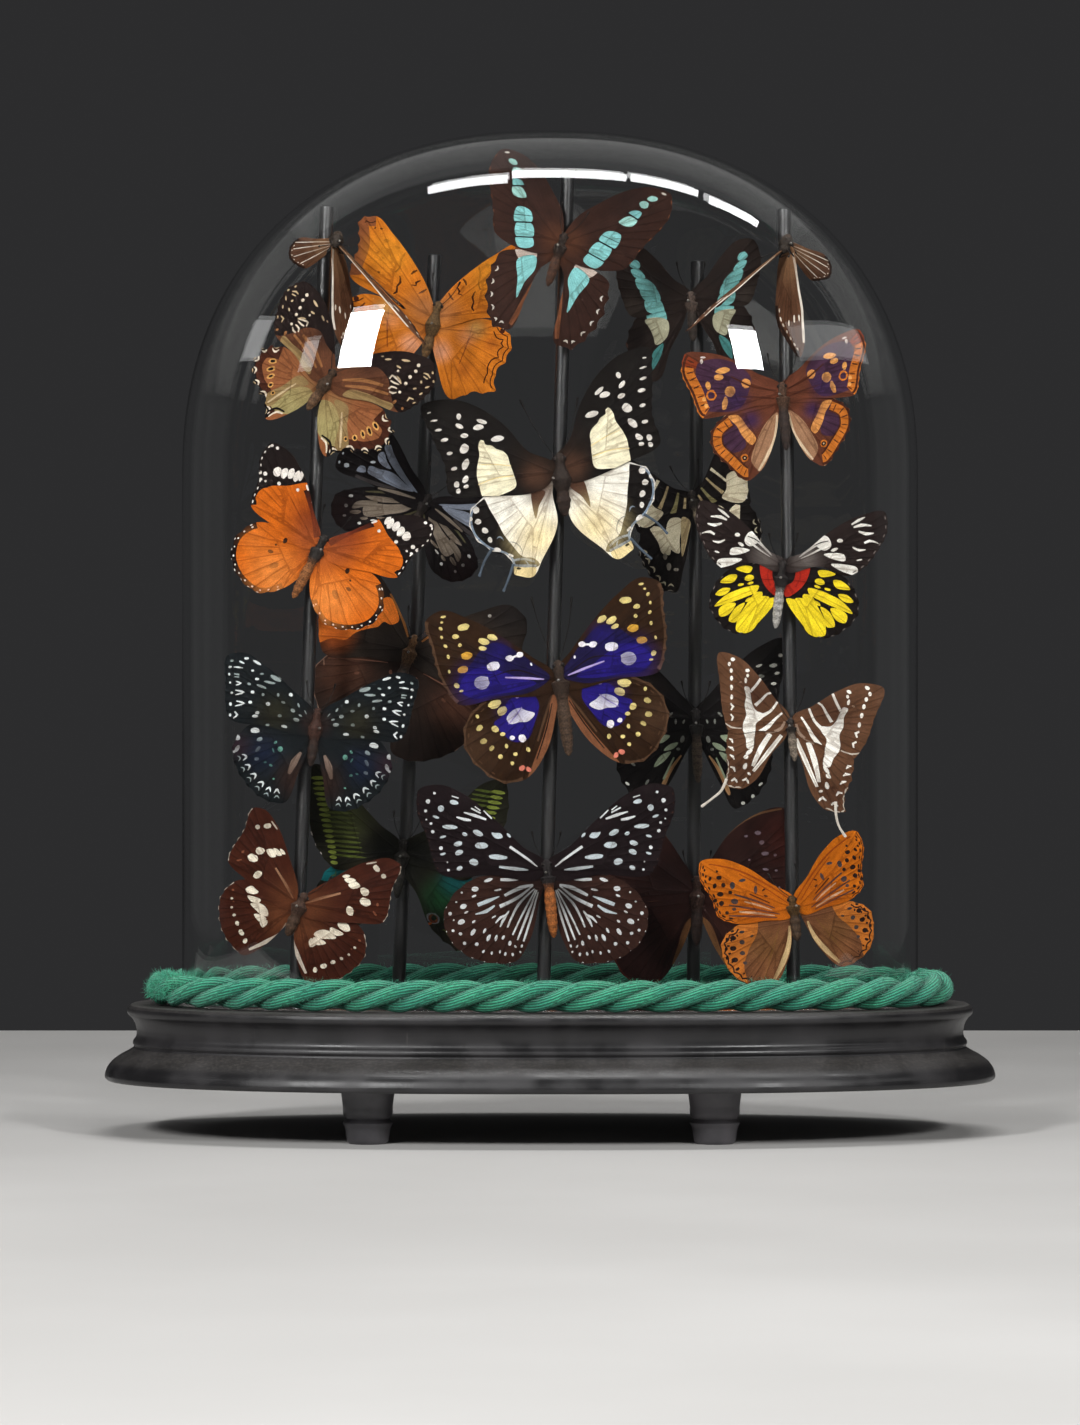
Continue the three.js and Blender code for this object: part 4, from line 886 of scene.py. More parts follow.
        ("lines", "dark", [(-19.4, 24.5, 0.3), (-13.6, 24.5, 0.3)], [(-18.6, 13, 0.12), (-10.6, 12, 0.12)],
         [(-18.6, 9.9, 0.3), (-10.4, 9.4, 0.3)], [(-18.2, 3.9, 0.25), (-10.2, 3.4, 0.25)]),
        ("spots", "pale", (-18.8, 34.4, 2, 1.1, 150), (-17.5, 30.8, 1.8, 1.5, 160)),
        ("spots", "silver", (-21.3, 38.4, 1.1, 0.4, 170)),
        ("row", "tan", 6, 0.5, 0.8, 0.2)],
    "hind_marks": [
        ("patches", "cream", [(-18, -0.4), (-9.6, -1), (-9.3, -4.2), (-16.6, -4.6)]),
        ("patches", "band", [(-16.8, -4.8), (-9.6, -4.2), (-10, -9), (-14, -14), (-17.4, -20.4),
         (-17, -13)]),
        ("lines", "tan", [(-3, -6, 0.7), (-9, -13, 1), (-15, -23, 1.2), (-20, -31, 0.7)]),
        ("lunes", "silver", 6, 2.6, 1.2, 0.36, 0.7, 0.1),
        ("lunes", "silver", 2, 0.4, 1.2, 0.3, -0.2, 0.72),
        ("glow", "tan", -2, -2, 9, 0.4)],
}, {
    "name": "cream_nawab", "rod": 2, "at": [2, 260.5],
    "fore": [[0, 5], [-11, 11], [-20, 21], [-30, 28], [-42, 31.5], [-53, 29], [-49, 16], [-44, 5], [-42, -6],
     [-28, -7], [-1, 0]],
    "hind": [[-1, 1], [-15, -2], [-28, -7], [-34, -13], [-33, -22], [-27, -28], [-18, -32], [-16, -38],
     [-9, -39], [-5, -32], [1, -17], [-1, -6]],
    "tips": [[-53, 29], [-12, -39.5]], "far_tips": [[37, 52], [28, -31]], "lift": [-2, 3, -3, 2],
    "body": [[1.5, 10], [4, -15], 4],
    "tails": [[[-25, -28], [-28, -33], [-30, -39]], [[-16.5, -34], [-18.5, -40], [-20.5, -45]]],
    "tail_tint": "5b6570", "antennae": [[-14, 31], [9, 32]], "margin": [[5, 8], [2, 8]], "teeth": [0.5, 0.7],
    "veins": [8, 7], "ground": ["black", "milk"], "body_tints": ["2e231d", "3a2a22"],
    "colours": {"black": "17120f", "white": "ded9d2", "cream": "efe8cc", "milk": "f3efe4",
     "butter": "efdcaa", "brown": "5c4234", "blue": "8592a0", "dusk": "352820"},
    "fore_marks": [
        ("glow", "dusk", -2, 6, 20, 0.8),
        ("glow", "brown", -8, 1, 9, 0.8),
        ("patches", "cream", [(-28.5, -7.6), (-30, -3), (-31, 1), (-30.8, 5), (-30, 9.5), (-30.4, 13),
         (-29.5, 15.3), (-28.3, 15), (-27.8, 13.6), (-25, 13), (-23.3, 11.7), (-21, 11), (-19, 9.2),
         (-18, 6), (-16.5, 2), (-15.5, -3.2), (-20, -6)]),
        ("lines", "butter", [(-16.5, 1, 0.3), (-24, 0, 0.25), (-30.5, -2.6, 0.15)], [(-17.5, 5, 0.25),
         (-25, 5.6, 0.2), (-30.5, 5.4, 0.1)]),
        ("spots", "white", (-38.2, 24.7, 1.3, 0.9, 90), (-38, 20.8, 1.7, 0.9, 155), (-36, 17, 1.5, 0.9),
         (-36, 11.8, 2.1, 1.7, 60), (-35.5, 5.6, 2.3, 1.3, 70), (-35.5, -0.3, 1.7, 1.1, 60),
         (-35.2, -3.2, 1.1, 0.8, 20), (-30.4, 20.4, 2.2, 1.1, 10), (-29, 22.6, 2.2, 0.8, 165),
         (-22.8, 15.8, 2.5, 1.2, 10), (-50, 26.2, 0.9, 0.3, 20), (-48, 23, 1.5, 0.4, 10),
         (-46.3, 19.2, 1.4, 0.6, 10), (-43.8, 15.3, 1.5, 0.8, 15), (-41.8, 10, 1.2, 0.7, 10),
         (-40, 3.9, 1.2, 0.8, 15), (-39, -2.4, 1.3, 1.1, 90), (-38.3, -5, 1.1, 0.9, 60))],
    "hind_marks": [
        ("glow", "butter", -6, -24, 18, 0.85),
        ("glow", "brown", -5, -3, 12, 0.95),
        ("patches", "brown", [(-4, -5), (-9, -5), (-9, -11), (-7.6, -16), (-6.4, -11)]),
        ("patches", "black", [(-28.6, -7.4), (-26, -12), (-23, -17), (-20.4, -22), (-17, -26.4),
         (-12.5, -31), (-8.4, -31.6), (-6, -34), (-10, -36), (-16, -37), (-18, -34), (-27, -31), (-36, -24),
         (-37, -12), (-31, -6)]),
        ("band", "blue", -0.5, 1.5, 0.1, 0.8),
        ("band", "white", -0.5, 0.7, 0, 0.78),
        ("spots", "white", (-31.3, -12.5, 1.5, 1.2, 50), (-33.6, -16, 1, 0.9, 90),
         (-30.5, -17, 1.3, 1.1, 20), (-27.8, -20.5, 1.4, 1.1, 150), (-25.8, -24.2, 1.2, 0.9, 110),
         (-22.8, -28.2, 1.6, 0.8, 165), (-17.5, -30.4, 1.2, 0.5, 155)),
        ("lunes", "blue", 3, 5.5, 1.7, 0.3, 1, 0.55, 0.85),
        ("lines", "blue", [(-17, -32.6, 0.4), (-12, -31.8, 0.5), (-8, -33, 0.4)]),
        ("patches", "butter", [(-16.6, -35), (-12, -35.2), (-7.4, -35.6), (-8.6, -39.4), (-13, -40.4),
         (-17, -38.6)]),
        ("lines", "blue", [(-16, -34.4, 0.4), (-11, -34.6, 0.6), (-7.4, -34.6, 0.4)]),
        ("spots", "black", (-14.4, -35.6, 0.9, 0.5))],
}, {
    "name": "great_purple_emperor", "rod": 2, "at": [2.5, 180.5],
    "fore": [[0, 3], [6, 12], [14, 23], [24, 34], [34, 41], [41, 39], [43, 28], [44, 15], [41, 4], [26, 1],
     [1, -1]],
    "hind": [[1, 1], [16, 3], [30, 2], [41, -4], [45, -14], [42, -24], [35, -32], [27, -33], [14, -25],
     [6, -14], [1, -4]],
    "tips": [[41, 39], [27, -33]], "far_tips": [[-52, 23.5], [-13, -39.5]], "lift": [-2, 2, -3, 2],
    "body": [[0.5, 8], [5, -30], 3.8], "antennae": [[-10, 33], [6, 33]], "margin": [[5, 8], [2, 7]],
    "teeth": [0.7, 0.8], "veins": [8, 7], "ground": ["ground", "ground"], "body_tints": ["3c2c22", "5a4434"],
    "under_tint": "8a8468",
    "colours": {"ground": "33200f", "purple": "2c2078", "navy": "211a44", "white": "f4f0f4",
     "lilac": "b9a8d8", "yellow": "dfcf8e", "ochre": "cfa244", "fold": "855a40", "edge": "5b4433",
     "pink": "dd8a78", "dark": "22160e"},
    "fore_marks": [
        ("patches", "navy", [(2, 2), (6, 9), (11, 16), (18, 22), (24, 21), (30, 17), (36, 14), (38.5, 9),
         (35, 4), (26, 2), (10, -1)]),
        ("patches", "purple", [(8, 1.5), (14, 6), (19, 10), (26, 14.5), (34, 13.4), (38, 9), (35.6, 5),
         (26, 2.8), (16, 1)]),
        ("glow", "purple", 30, 8, 15, 0.7),
        ("glow", "purple", 18, 18, 8, 0.5),
        ("band", "edge", -0.5, 1.5),
        ("lines", "dark", [(6, 3.4, 0.2), (14, 9, 0.3), (22, 9.6, 0.2), (26, 9.4, 0.2)]),
        ("spots", "white", (10.1, 14.3, 1.5, 1.1), (14.4, 14.2, 1.7, 1.2, 15), (21.8, 13.3, 2.8, 1.9, 5),
         (28.5, 8.7, 3.1, 2.8), (7.2, 9.2, 0.7, 0.45, 90)),
        ("lines", "white", [(9, 14.2, 0.4), (12.4, 14.2, 0.4), (15, 14.2, 0.3)]),
        ("lines", "lilac", [(4.5, 1.9, 0.2), (10, 4.2, 0.5), (19, 7.6, 0.25)]),
        ("spots", "yellow", (27.5, 31.8, 2.5, 1.4, 5), (31.8, 29.3, 1.4, 1, 10), (31.4, 25.5, 0.8),
         (18, 24.3, 2.2, 1.2, 35), (21.8, 23.8, 2.3, 1.3, 35), (23.3, 21.4, 1.7, 0.9, 25),
         (38.5, 10.8, 1.2, 1, 60), (37.5, 8.2, 0.9, 0.5, 10), (33.6, 38.3, 1.1, 0.5, 10),
         (35, 36.4, 0.6, 0.45), (36.3, 34.2, 0.9, 0.7, 60), (37.2, 30.8, 0.7, 0.6, 90),
         (37, 27, 0.9, 0.7, 60), (37.5, 22.7, 0.9, 0.6, 90), (39.3, 17, 0.8, 0.5, 100)),
        ("spots", "ochre", (30.4, 20.7, 2.3, 1.5, 10), (33.8, 16, 2.2, 1.4, 5))],
    "hind_marks": [
        ("patches", "purple", [(11, -1.6), (10, -6), (14, -12.5), (20, -18.4), (25, -17.6), (28.6, -12),
         (30, -8), (26, -6.4), (22, -2)]),
        ("glow", "purple", 20, -6, 11, 0.6),
        ("glow", "edge", 40, -14, 14, 0.5),
        ("band", "edge", -0.5, 1.3),
        ("patches", "fold", [(3, -5), (8, -12), (14, -20), (21, -28), (25, -32.6), (14, -28), (6, -17),
         (1, -7)]),
        ("lines", "dark", [(5, -8, 0.2), (11, -17, 0.3), (19, -27, 0.2)]),
        ("lines", "edge", [(4, -5, 0.2), (9.6, -12, 0.5), (16, -20.4, 0.3)]),
        ("patches", "white", [(13, -9.5), (15.6, -7.6), (18, -5.6), (22, -6), (24.6, -8.2), (24, -10.2),
         (20, -10.9), (17, -11.7)]),
        ("lines", "lilac", [(17, -5.5, 0.2), (20.5, -8, 0.25), (24.6, -10.3, 0.15)]),
        ("spots", "lilac", (17.2, -0.9, 1, 0.9)),
        ("spots", "white", (21.4, -17.3, 1.7, 1.5, 60), (25.1, -15.8, 1.2, 0.9, 10)),
        ("spots", "yellow", (26.8, -1, 2.8, 1.6, 175), (25, -4.6, 2.3, 1.6, 160),
         (30.3, -10.3, 1.5, 1.3, 40), (28.2, -13.2, 1.1, 0.8, 10), (28.5, -18.2, 1, 0.7, 100),
         (20.8, -22.2, 1, 0.8, 90), (26.3, -22.3, 1, 0.8, 10), (36, -7.9, 1.5, 1.1, 160),
         (36.5, -13.4, 1.5, 1.1), (34.5, -17.1, 1.3, 0.9, 150), (32.3, -21.3, 1), (28.8, -25.3, 0.8),
         (35.2, -3.3, 0.9, 0.7, 90), (13, -1.2, 1.3, 0.6, 10)),
        ("spots", "pink", (23.6, -29.6, 1.3, 0.9, 60), (25.8, -28.3, 1.4, 1, 160)),
        ("row", "edge", 6, 2.6, 1.1, 0.3, 0, 0.8)],
}, {
    "name": "blue_tiger", "rod": 2, "at": [-1.5, 104.5],
    "fore": [[0, 3], [9, 10], [20, 21], [32, 31], [42, 35], [50, 33], [51, 26], [47, 14], [42, 0], [22, -1],
     [1, -1]],
    "hind": [[1, 0], [14, -1], [27, -2], [36, -8], [40.5, -17], [38, -27], [30, -34], [20, -36.5],
     [12, -35.5], [7, -28], [3, -13]],
    "tips": [[50, 33], [12, -35.5]], "far_tips": [[-50.5, 32.5], [-12, -35.5]], "lift": [3, -2, 2, -2],
    "body": [[0, 5], [3, -26], 3.2], "margin": [[5, 8], [2, 8]], "teeth": [0.3, -0.4], "veins": [7, 8],
    "ground": ["ground", "brown"], "body_tints": ["221c1c", "c8763a"],
    "colours": {"black": "150f10", "white": "dfe2e3", "pale": "c9d2d6", "ground": "22181a",
     "brown": "422c25"},
    "fore_marks": [
        ("lines", "white", [(3.5, 2.2, 0.15), (7, 5, 0.45), (14.3, 10.2, 0.55)]),
        ("lines", "pale", [(7, 0.9, 0.1), (12, 1.4, 0.7), (18.5, 2.3, 0.4)]),
        ("spots", "pale", (19, 6.1, 3.8, 1, 4), (25.5, 10.7, 2.6, 1.3), (28.4, 4.2, 1.8, 1.3, 10),
         (26.7, 15.7, 2.1, 1.1, 25), (37.8, 18.2, 2.9, 0.9, 4), (36.2, 28, 1.8, 0.9, 12), (41.3, 25.6, 1.3),
         (34.5, 11.5, 1.7, 1, 170), (34.2, 8, 1.7, 1, 160), (34, 1.8, 1.2, 0.9, 150),
         (32, 15.3, 1.1, 0.7, 20), (40.5, 14.3, 1.3, 0.5, 165), (40.5, 7.5, 1.2, 0.5, 165),
         (43.2, 22.2, 1.3, 0.5, 20)),
        ("patches", "pale", [(17, 14), (20, 13.6), (21.4, 16), (20, 15.7), (18, 15.6)]),
        ("spots", "pale", (14.7, 14.7, 1.2, 0.5, 50)),
        ("lines", "white", [(21.3, 21.4, 0.35), (24.5, 24.6, 0.2)], [(23.5, 21.1, 0.35), (28, 22.7, 0.6),
         (32.3, 24, 0.15)], [(29.5, 20.8, 0.35), (32, 21.2, 0.6), (35.2, 22.2, 0.2)], [(25.7, 23.6, 0.3),
         (29.4, 25.6, 0.3)], [(25.8, 24.6, 0.25), (28, 26.3, 0.2)], [(34.3, 29.6, 0.25), (37, 30.5, 0.2)]),
        ("spots", "white", (43.8, 31.7, 0.6), (46.3, 28.4, 0.9), (47.3, 24.6, 0.65), (47, 21.2, 0.35),
         (45.2, 19.6, 0.55), (44.5, 16.4, 0.7), (41.3, 9.8, 0.8), (38.8, 4.2, 0.35), (38.4, 1, 0.55)),
        ("row", "brown", 9, 0.8, 0.5, 0.3)],
    "hind_marks": [
        ("glow", "black", 8, -10, 14, 0.8),
        ("lines", "white", [(11, -3.1, 0.1), (15, -3, 0.65), (18, -2.9, 0.5)]),
        ("spots", "white", (22.8, -3.1, 1.8, 0.7, 160)),
        ("lines", "white", [(5.2, -5, 0.25), (10, -6.2, 0.8), (16.4, -9.3, 0.5)], [(5.2, -5.3, 0.2),
         (11, -10, 0.6), (18.3, -13.6, 0.7)]),
        ("lines", "pale", [(18.4, -9.6, 0.1), (23, -11.4, 0.8), (27, -13, 0.7)], [(20.3, -13.2, 0.3),
         (23.5, -15.4, 0.7), (28, -16.6, 0.1)]),
        ("lines", "white", [(4.6, -6.6, 0.2), (11, -13, 0.5), (15.3, -22, 0.3)], [(4.2, -7, 0.2),
         (9, -16, 0.4), (13.3, -25, 0.3)], [(14.6, -15.3, 0.2), (16.6, -18.3, 0.6), (18.2, -21.8, 0.2)],
         [(16.2, -17, 0.2), (18, -18, 0.5), (20, -20.2, 0.2)], [(3.7, -7.2, 0.2), (7.5, -17, 0.5),
         (11.4, -27, 0.3)], [(3.2, -8, 0.2), (6, -18, 0.45), (9, -27.6, 0.35)]),
        ("lines", "brown", [(2.6, -9, 0.2), (4.6, -16, 0.3), (7, -24, 0.2)]),
        ("spots", "white", (19, -7, 1.5, 0.4, 170), (20.6, -17.7, 1, 0.35, 150), (28, -6.6, 1.4, 1),
         (28.4, -9.4, 1.1, 0.45, 155), (32.6, -13.5, 1.4, 1, 165), (33.4, -19.7, 1.5, 1, 155),
         (31.5, -15.9, 0.9, 0.4, 150), (28.6, -19.6, 0.9, 0.45, 140), (28.8, -23.7, 1.5, 0.8, 120),
         (24.3, -23.3, 1.2, 0.5, 115), (22.7, -26, 1.5, 0.7, 115), (19.8, -26.2, 1.3, 0.55, 105),
         (17, -26, 1, 0.5, 115), (14.4, -28.3, 1.1, 0.65, 100), (12.2, -29.6, 0.7, 0.4, 60),
         (9.7, -29.4, 0.7, 0.45, 110), (33.2, -8, 0.45), (37.8, -16.4, 0.75), (36.7, -23.2, 0.6),
         (35.4, -11.8, 0.4), (36.4, -19, 0.35), (33.8, -24.4, 0.7), (32.2, -28.2, 0.7), (27.4, -28.6, 0.75),
         (24.8, -31.6, 0.75, 0.5, 120), (21.5, -32.2, 0.75, 0.45, 100), (18.3, -31.7, 0.7, 0.4, 100),
         (16.2, -32.6, 0.8, 0.5, 100), (13.3, -32.8, 0.8, 0.5, 80), (10.3, -31.8, 0.5, 0.4, 60)),
        ("row", "white", 9, 0.3, 0.4, 0.16, 0.25)],
}, {
    "name": "bluebottle_back", "rod": 3, "at": [56.5, 332.5],
    "fore": [[0, 3], [-7, 9], [-14, 17], [-21, 22], [-27, 21], [-30, 13], [-28, 2], [-24, -6], [-12, -4],
     [-1, -1]],
    "hind": [[-1, 0], [-13, -4], [-22, -7], [-26, -15], [-25, -24], [-19, -32], [-14, -32], [-8, -19],
     [-2, -6]],
    "tips": [[-27, 21], [-14, -32]], "far_tips": [[25, 25], [15, -27]], "lift": [2, 1, 0, 1],
    "body": [[0, 4], [1, -16], 2.8], "margin": [[4, 7], [2, 6]], "teeth": [0.3, 0.9], "veins": [7, 6],
    "ground": ["ground", "ground"], "body_tints": ["5c4c43", "40352e"],
    "colours": {"ground": "2a211d", "band": "7cb4b2", "deep": "4f8482", "cream": "aaa891", "dark": "191311",
     "tan": "6a5046", "smoke": "4a423c"},
    "fore_marks": [
        ("glow", "dark", -12, 8, 10, 0.6),
        ("glow", "smoke", -24, -2, 9, 0.6),
        ("patches", "band", [(-24.6, 14.4), (-23.4, 16.4), (-21.4, 16.2), (-20.2, 14), (-20.6, 13.2)],
         [(-24, 12.5), (-21, 12.8), (-18.2, 9.3), (-22.6, 9.6)], [(-22.2, 8.8), (-17.6, 8.8), (-13.8, 5.1),
         (-21, 4.8)], [(-20.5, 4.2), (-13.6, 4.6), (-12.1, 0.5), (-18.6, 0.5)], [(-18.5, 0), (-12, 0),
         (-10.6, -4.4), (-17.8, -3.8)])],
    "hind_marks": [
        ("patches", "band", [(-17.8, -4.4), (-10.4, -3.8), (-9.6, -7.6), (-17.2, -7.8)]),
        ("patches", "cream", [(-18.4, -8.1), (-9, -8), (-8.6, -11), (-9.6, -14.4), (-14, -17.4), (-15, -14),
         (-16.6, -10.6)]),
        ("patches", "deep", [(-15.8, -28), (-14.8, -20), (-11, -16.8), (-12, -22)]),
        ("lines", "tan", [(-27, -16, 0.2), (-25.6, -17.2, 0.4), (-25.2, -18.6, 0.2)]),
        ("glow", "dark", -22, -14, 9, 0.5)],
}, {
    "name": "zebra_swallowtail", "rod": 3, "at": [57.5, 253],
    "fore": [[0, 2], [-8, 5], [-18, 12], [-27, 17], [-32, 16], [-30, 5], [-25, -6], [-22, -13], [-10, -6],
     [-1, -2]],
    "hind": [[-1, -1], [-12, -6], [-21, -13], [-22, -22], [-18, -30], [-13, -36], [-7, -37], [-4, -28],
     [-1, -12]],
    "tips": [[-32, 16], [-10, -37]], "far_tips": [[17, 27], [25, -26]], "lift": [1, 2, 2, 1],
    "body": [[-1, 4], [4, -14], 2.6], "margin": [[4, 7], [2, 6]], "teeth": [0.3, 0.9], "veins": [7, 7],
    "ground": ["black", "black"], "body_tints": ["2a221c", "8a7c66"],
    "colours": {"black": "17110f", "cream": "d2c9b0", "sand": "b3a27f", "olive": "8c8560", "grey": "948e84",
     "white": "ded8cc"},
    "fore_marks": [
        ("lines", "cream", [(-14, 8, 0.75), (-15.6, 4.6, 0.5), (-17.6, -0.2, 0.5)]),
        ("lines", "sand", [(-10.1, 5.6, 0.4), (-11.6, 1, 0.5), (-13.5, -3.5, 0.9)]),
        ("lines", "olive", [(-6, 3, 0.4), (-6.9, -1.6, 0.7), (-8.2, -5.6, 1.3)]),
        ("lines", "sand", [(-3.2, 1, 0.4), (-3.5, -3.4, 0.6)]),
        ("patches", "cream", [(-19.7, 2.6), (-23.3, 2), (-26, -3), (-23, -9), (-20, -11), (-14, -8),
         (-12, -5), (-15.4, -3)]),
        ("row", "white", 6, 1.8, 0.9, 0.3)],
    "hind_marks": [
        ("patches", "cream", [(-17.4, -10.6), (-12, -11.4), (-9.8, -16), (-9.6, -22), (-12, -21.6),
         (-14, -17)], [(-8.2, -7), (-5.6, -7), (-5.4, -16), (-5.8, -21.4), (-8.2, -20.4)]),
        ("patches", "sand", [(-3.6, -6.6), (-1.4, -8), (-2, -14), (-4.4, -22.6), (-4.8, -16)]),
        ("spots", "grey", (-9.7, -26.6, 0.9, 1.6), (-6.8, -27.8, 1, 0.7), (-11.2, -22.6, 0.9, 1.3)),
        ("lunes", "cream", 6, 2.4, 1.5, 0.35, 1, 0.2),
        ("lunes", "grey", 6, 0.6, 1.3, 0.2, 0.4, 0.2)],
}, {
    "name": "black_crow", "rod": 3, "at": [58.5, 163.5],
    "fore": [[-1, 3], [6, 12], [16, 23], [26, 31], [35, 34], [37, 27], [34, 15], [32, 4], [16, 0], [0, -1]],
    "hind": [[0, 1], [16, 1], [27, -3], [31, -12], [29, -23], [23, -31], [16, -34.5], [10, -25], [4, -13],
     [0, -4]],
    "tips": [[35, 34], [16, -34.5]], "far_tips": [[-36, 33], [-17, -34]], "lift": [2, 1, 2, 1],
    "body": [[0, 6], [1, -24], 3], "margin": [[4, 7], [2, 6]], "teeth": [0.3, 0.7], "veins": [7, 7],
    "ground": ["ground", "ground"], "body_tints": ["1b1614", "6a5a4c"],
    "colours": {"ground": "14100f", "white": "d3d2ca", "sage": "98a38c", "fawn": "ab8762", "grey": "84867f",
     "brown": "2c1f18"},
    "fore_marks": [
        ("spots", "white", (34, 27.2, 0.9, 0.8, 10), (25.4, 23, 1.3, 0.5, 20), (31.2, 23.1, 1.6, 0.8, 5),
         (35.2, 24, 0.6, 0.5), (32.6, 20, 1.1, 0.6, 10), (31.3, 15.8, 1.1, 0.6, 5)),
        ("spots", "grey", (26.2, 18.8, 1.3, 0.7), (9.8, 3.5, 1.4, 0.5, 135), (7.7, 0.6, 0.45, 1.1),
         (4.6, 0.6, 0.4, 1, 20)),
        ("glow", "brown", 20, 14, 12, 0.5)],
    "hind_marks": [
        ("patches", "sage", [(9.8, -5.2), (14, -4.8), (20.6, -6.2), (17, -8), (12, -7.6)], [(6.6, -8),
         (9.8, -8.6), (12.2, -11.2), (8.4, -10.4)], [(9.4, -11.6), (13, -13), (15.8, -18), (12.4, -16)]),
        ("lines", "fawn", [(5.4, -13.2, 0.25), (9.4, -19, 0.75), (12.8, -27, 0.85), (13.6, -29, 0.3)]),
        ("lines", "sage", [(8.2, -14, 0.3), (12.2, -23, 0.45)]),
        ("spots", "grey", (5, -6.6, 0.8, 1.5, 15), (6.6, -10.6, 0.8, 0.6)),
        ("spots", "white", (19, -32.2, 0.8, 0.7), (23, -29.6, 0.7, 1, 20), (26, -24.6, 1, 0.5, 40)),
        ("spots", "grey", (18.4, -24, 0.5, 1.3, 30), (24, -16.6, 1.3, 0.5, 40), (27.4, -11, 1, 0.4, 60))],
}, {
    "name": "maroon_crow", "rod": 3, "at": [59, 94],
    "fore": [[0, 4], [6, 15], [14, 26], [24, 33], [34, 35.5], [39, 33], [39.5, 20], [37, 6], [34, -2],
     [18, -2], [1, -1]],
    "hind": [[1, 0], [18, -1], [32, -2], [38, -10], [38, -21], [33, -32], [23, -37], [17, -34], [9, -24],
     [3, -12], [0, -4]],
    "tips": [[39, 33], [23, -37]], "far_tips": [[-38, 33], [-20, -37]], "lift": [2, 2, 2, 2],
    "body": [[0, 8], [0, -20], 3.4], "margin": [[5, 8], [2, 7]], "teeth": [0.3, 0.4], "veins": [7, 8],
    "ground": ["ground", "ground"], "body_tints": ["40291f", "35241d"],
    "colours": {"ground": "321c18", "rim": "522a22", "spot": "84767f", "line": "75583f", "fawn": "84603f",
     "inner": "3c221b", "dark": "1c0f0e"},
    "fore_marks": [
        ("glow", "rim", 36, 24, 16, 0.8),
        ("glow", "dark", 12, 8, 12, 0.6),
        ("lines", "line", [(5, 14, 0.2), (13, 25.4, 0.4), (23, 32.4, 0.5), (34, 35, 0.3)]),
        ("spots", "spot", (24.4, 25.3, 1.3, 0.8), (26, 21.5, 1, 0.9), (27.4, 17, 1.6, 0.8),
         (31.4, 16.4, 0.7, 0.6), (27.6, 10.6, 1.3, 0.5, 170), (31.8, 10.2, 0.6, 0.5), (19.7, 24, 0.8, 0.5),
         (21, 14.5, 0.5, 0.4), (33, 3.4, 0.5, 0.4)),
        ("band", "rim", -0.5, 1.2)],
    "hind_marks": [
        ("glow", "inner", 12, -12, 14, 0.7),
        ("glow", "dark", 26, -14, 12, 0.5),
        ("patches", "fawn", [(1.6, -8), (4.4, -10), (9, -20), (11.6, -28), (8.4, -24.4), (3.4, -14)]),
        ("lines", "line", [(4, -2, 0.2), (16, -1.8, 0.3), (26, -2.6, 0.2)]),
        ("band", "rim", -0.5, 1)],
}, {
    "name": "lesser_purple_emperor", "rod": 4, "at": [91.5, 293.5],
    "fore": [[0, 3], [-10, 8.5], [-20, 14], [-30, 16.5], [-38, 16], [-40, 10], [-36, 0], [-31, -9.5],
     [-26, -9], [-12, -5], [-1, -2]],
    "hind": [[-1, -1], [-12, -5], [-22, -8], [-28, -14], [-28, -21], [-22, -28], [-13, -34], [-9, -31],
     [-3, -19], [-1, -6]],
    "tips": [[-38, 16], [-13, -34]], "far_tips": [[31, 26], [17, -28]], "lift": [3, 2, -4, -2],
    "body": [[0, 5], [2, -22], 3], "margin": [[4, 7], [2, 6]], "teeth": [0.6, 0.9], "veins": [8, 8],
    "ground": ["ground", "ground"], "body_tints": ["5a4030", "3c2e28"],
    "colours": {"ground": "6c4130", "orange": "c67a34", "ochre": "dfa562", "purple": "4d3448",
     "deep": "3c2a52", "brown": "532e20", "red": "8d4427", "fawn": "a98367", "edge": "dcc7ab",
     "black": "1c110e", "peach": "d99b5c", "white": "d9cfc8"},
    "fore_marks": [
        ("patches", "purple", [(-33, 12), (-26, 14), (-18, 12), (-12, 6), (-13, 1), (-16, -5), (-25, -7),
         (-31, -6), (-33, 2)]),
        ("glow", "deep", -18, -2, 8, 0.7),
        ("band", "orange", -0.6, 5.2, 0.12, 1),
        ("band", "red", -0.6, 6.2, 0, 0.2),
        ("band", "brown", 0.7, 1.7),
        ("row", "brown", 8, 3.6, 0.3, 1.5),
        ("patches", "ochre", [(-26.2, 8.8), (-22, 10.7), (-20.4, 9.9), (-24, 8)]),
        ("spots", "ochre", (-24.9, 6.7, 1.9, 1.2), (-29, 3.4, 1.1, 1.6, 15), (-20.4, 1.2, 2.1, 2.2, 20),
         (-22.4, -3.6, 1.1, 2.7, 170), (-30.6, -2, 0.9), (-29.8, -4.6, 0.8, 0.9)),
        ("spots", "peach", (-14, 4.4, 1.9)),
        ("spots", "white", (-31.6, 13, 0.6, 1), (-31, 14.6, 1.2, 0.4)),
        ("spots", "orange", (-27.8, -0.4, 2.1)),
        ("spots", "purple", (-27.8, -0.4, 1.4)),
        ("lines", "brown", [(-2, 1.6, 0.3), (-12, 3.2, 0.4), (-20, 7, 0.2)], [(-3, -1.6, 0.3),
         (-12, -1, 0.4), (-18, -1, 0.2)])],
    "hind_marks": [
        ("patches", "purple", [(-26, -13), (-21, -10), (-16, -14), (-14.4, -21), (-20, -23), (-25, -19)]),
        ("glow", "deep", -12, -10, 6, 0.9),
        ("band", "brown", -0.6, 5.6),
        ("band", "orange", 1.5, 4.9),
        ("row", "brown", 8, 3.2, 0.25, 1.7),
        ("band", "fawn", -0.6, 0.3),
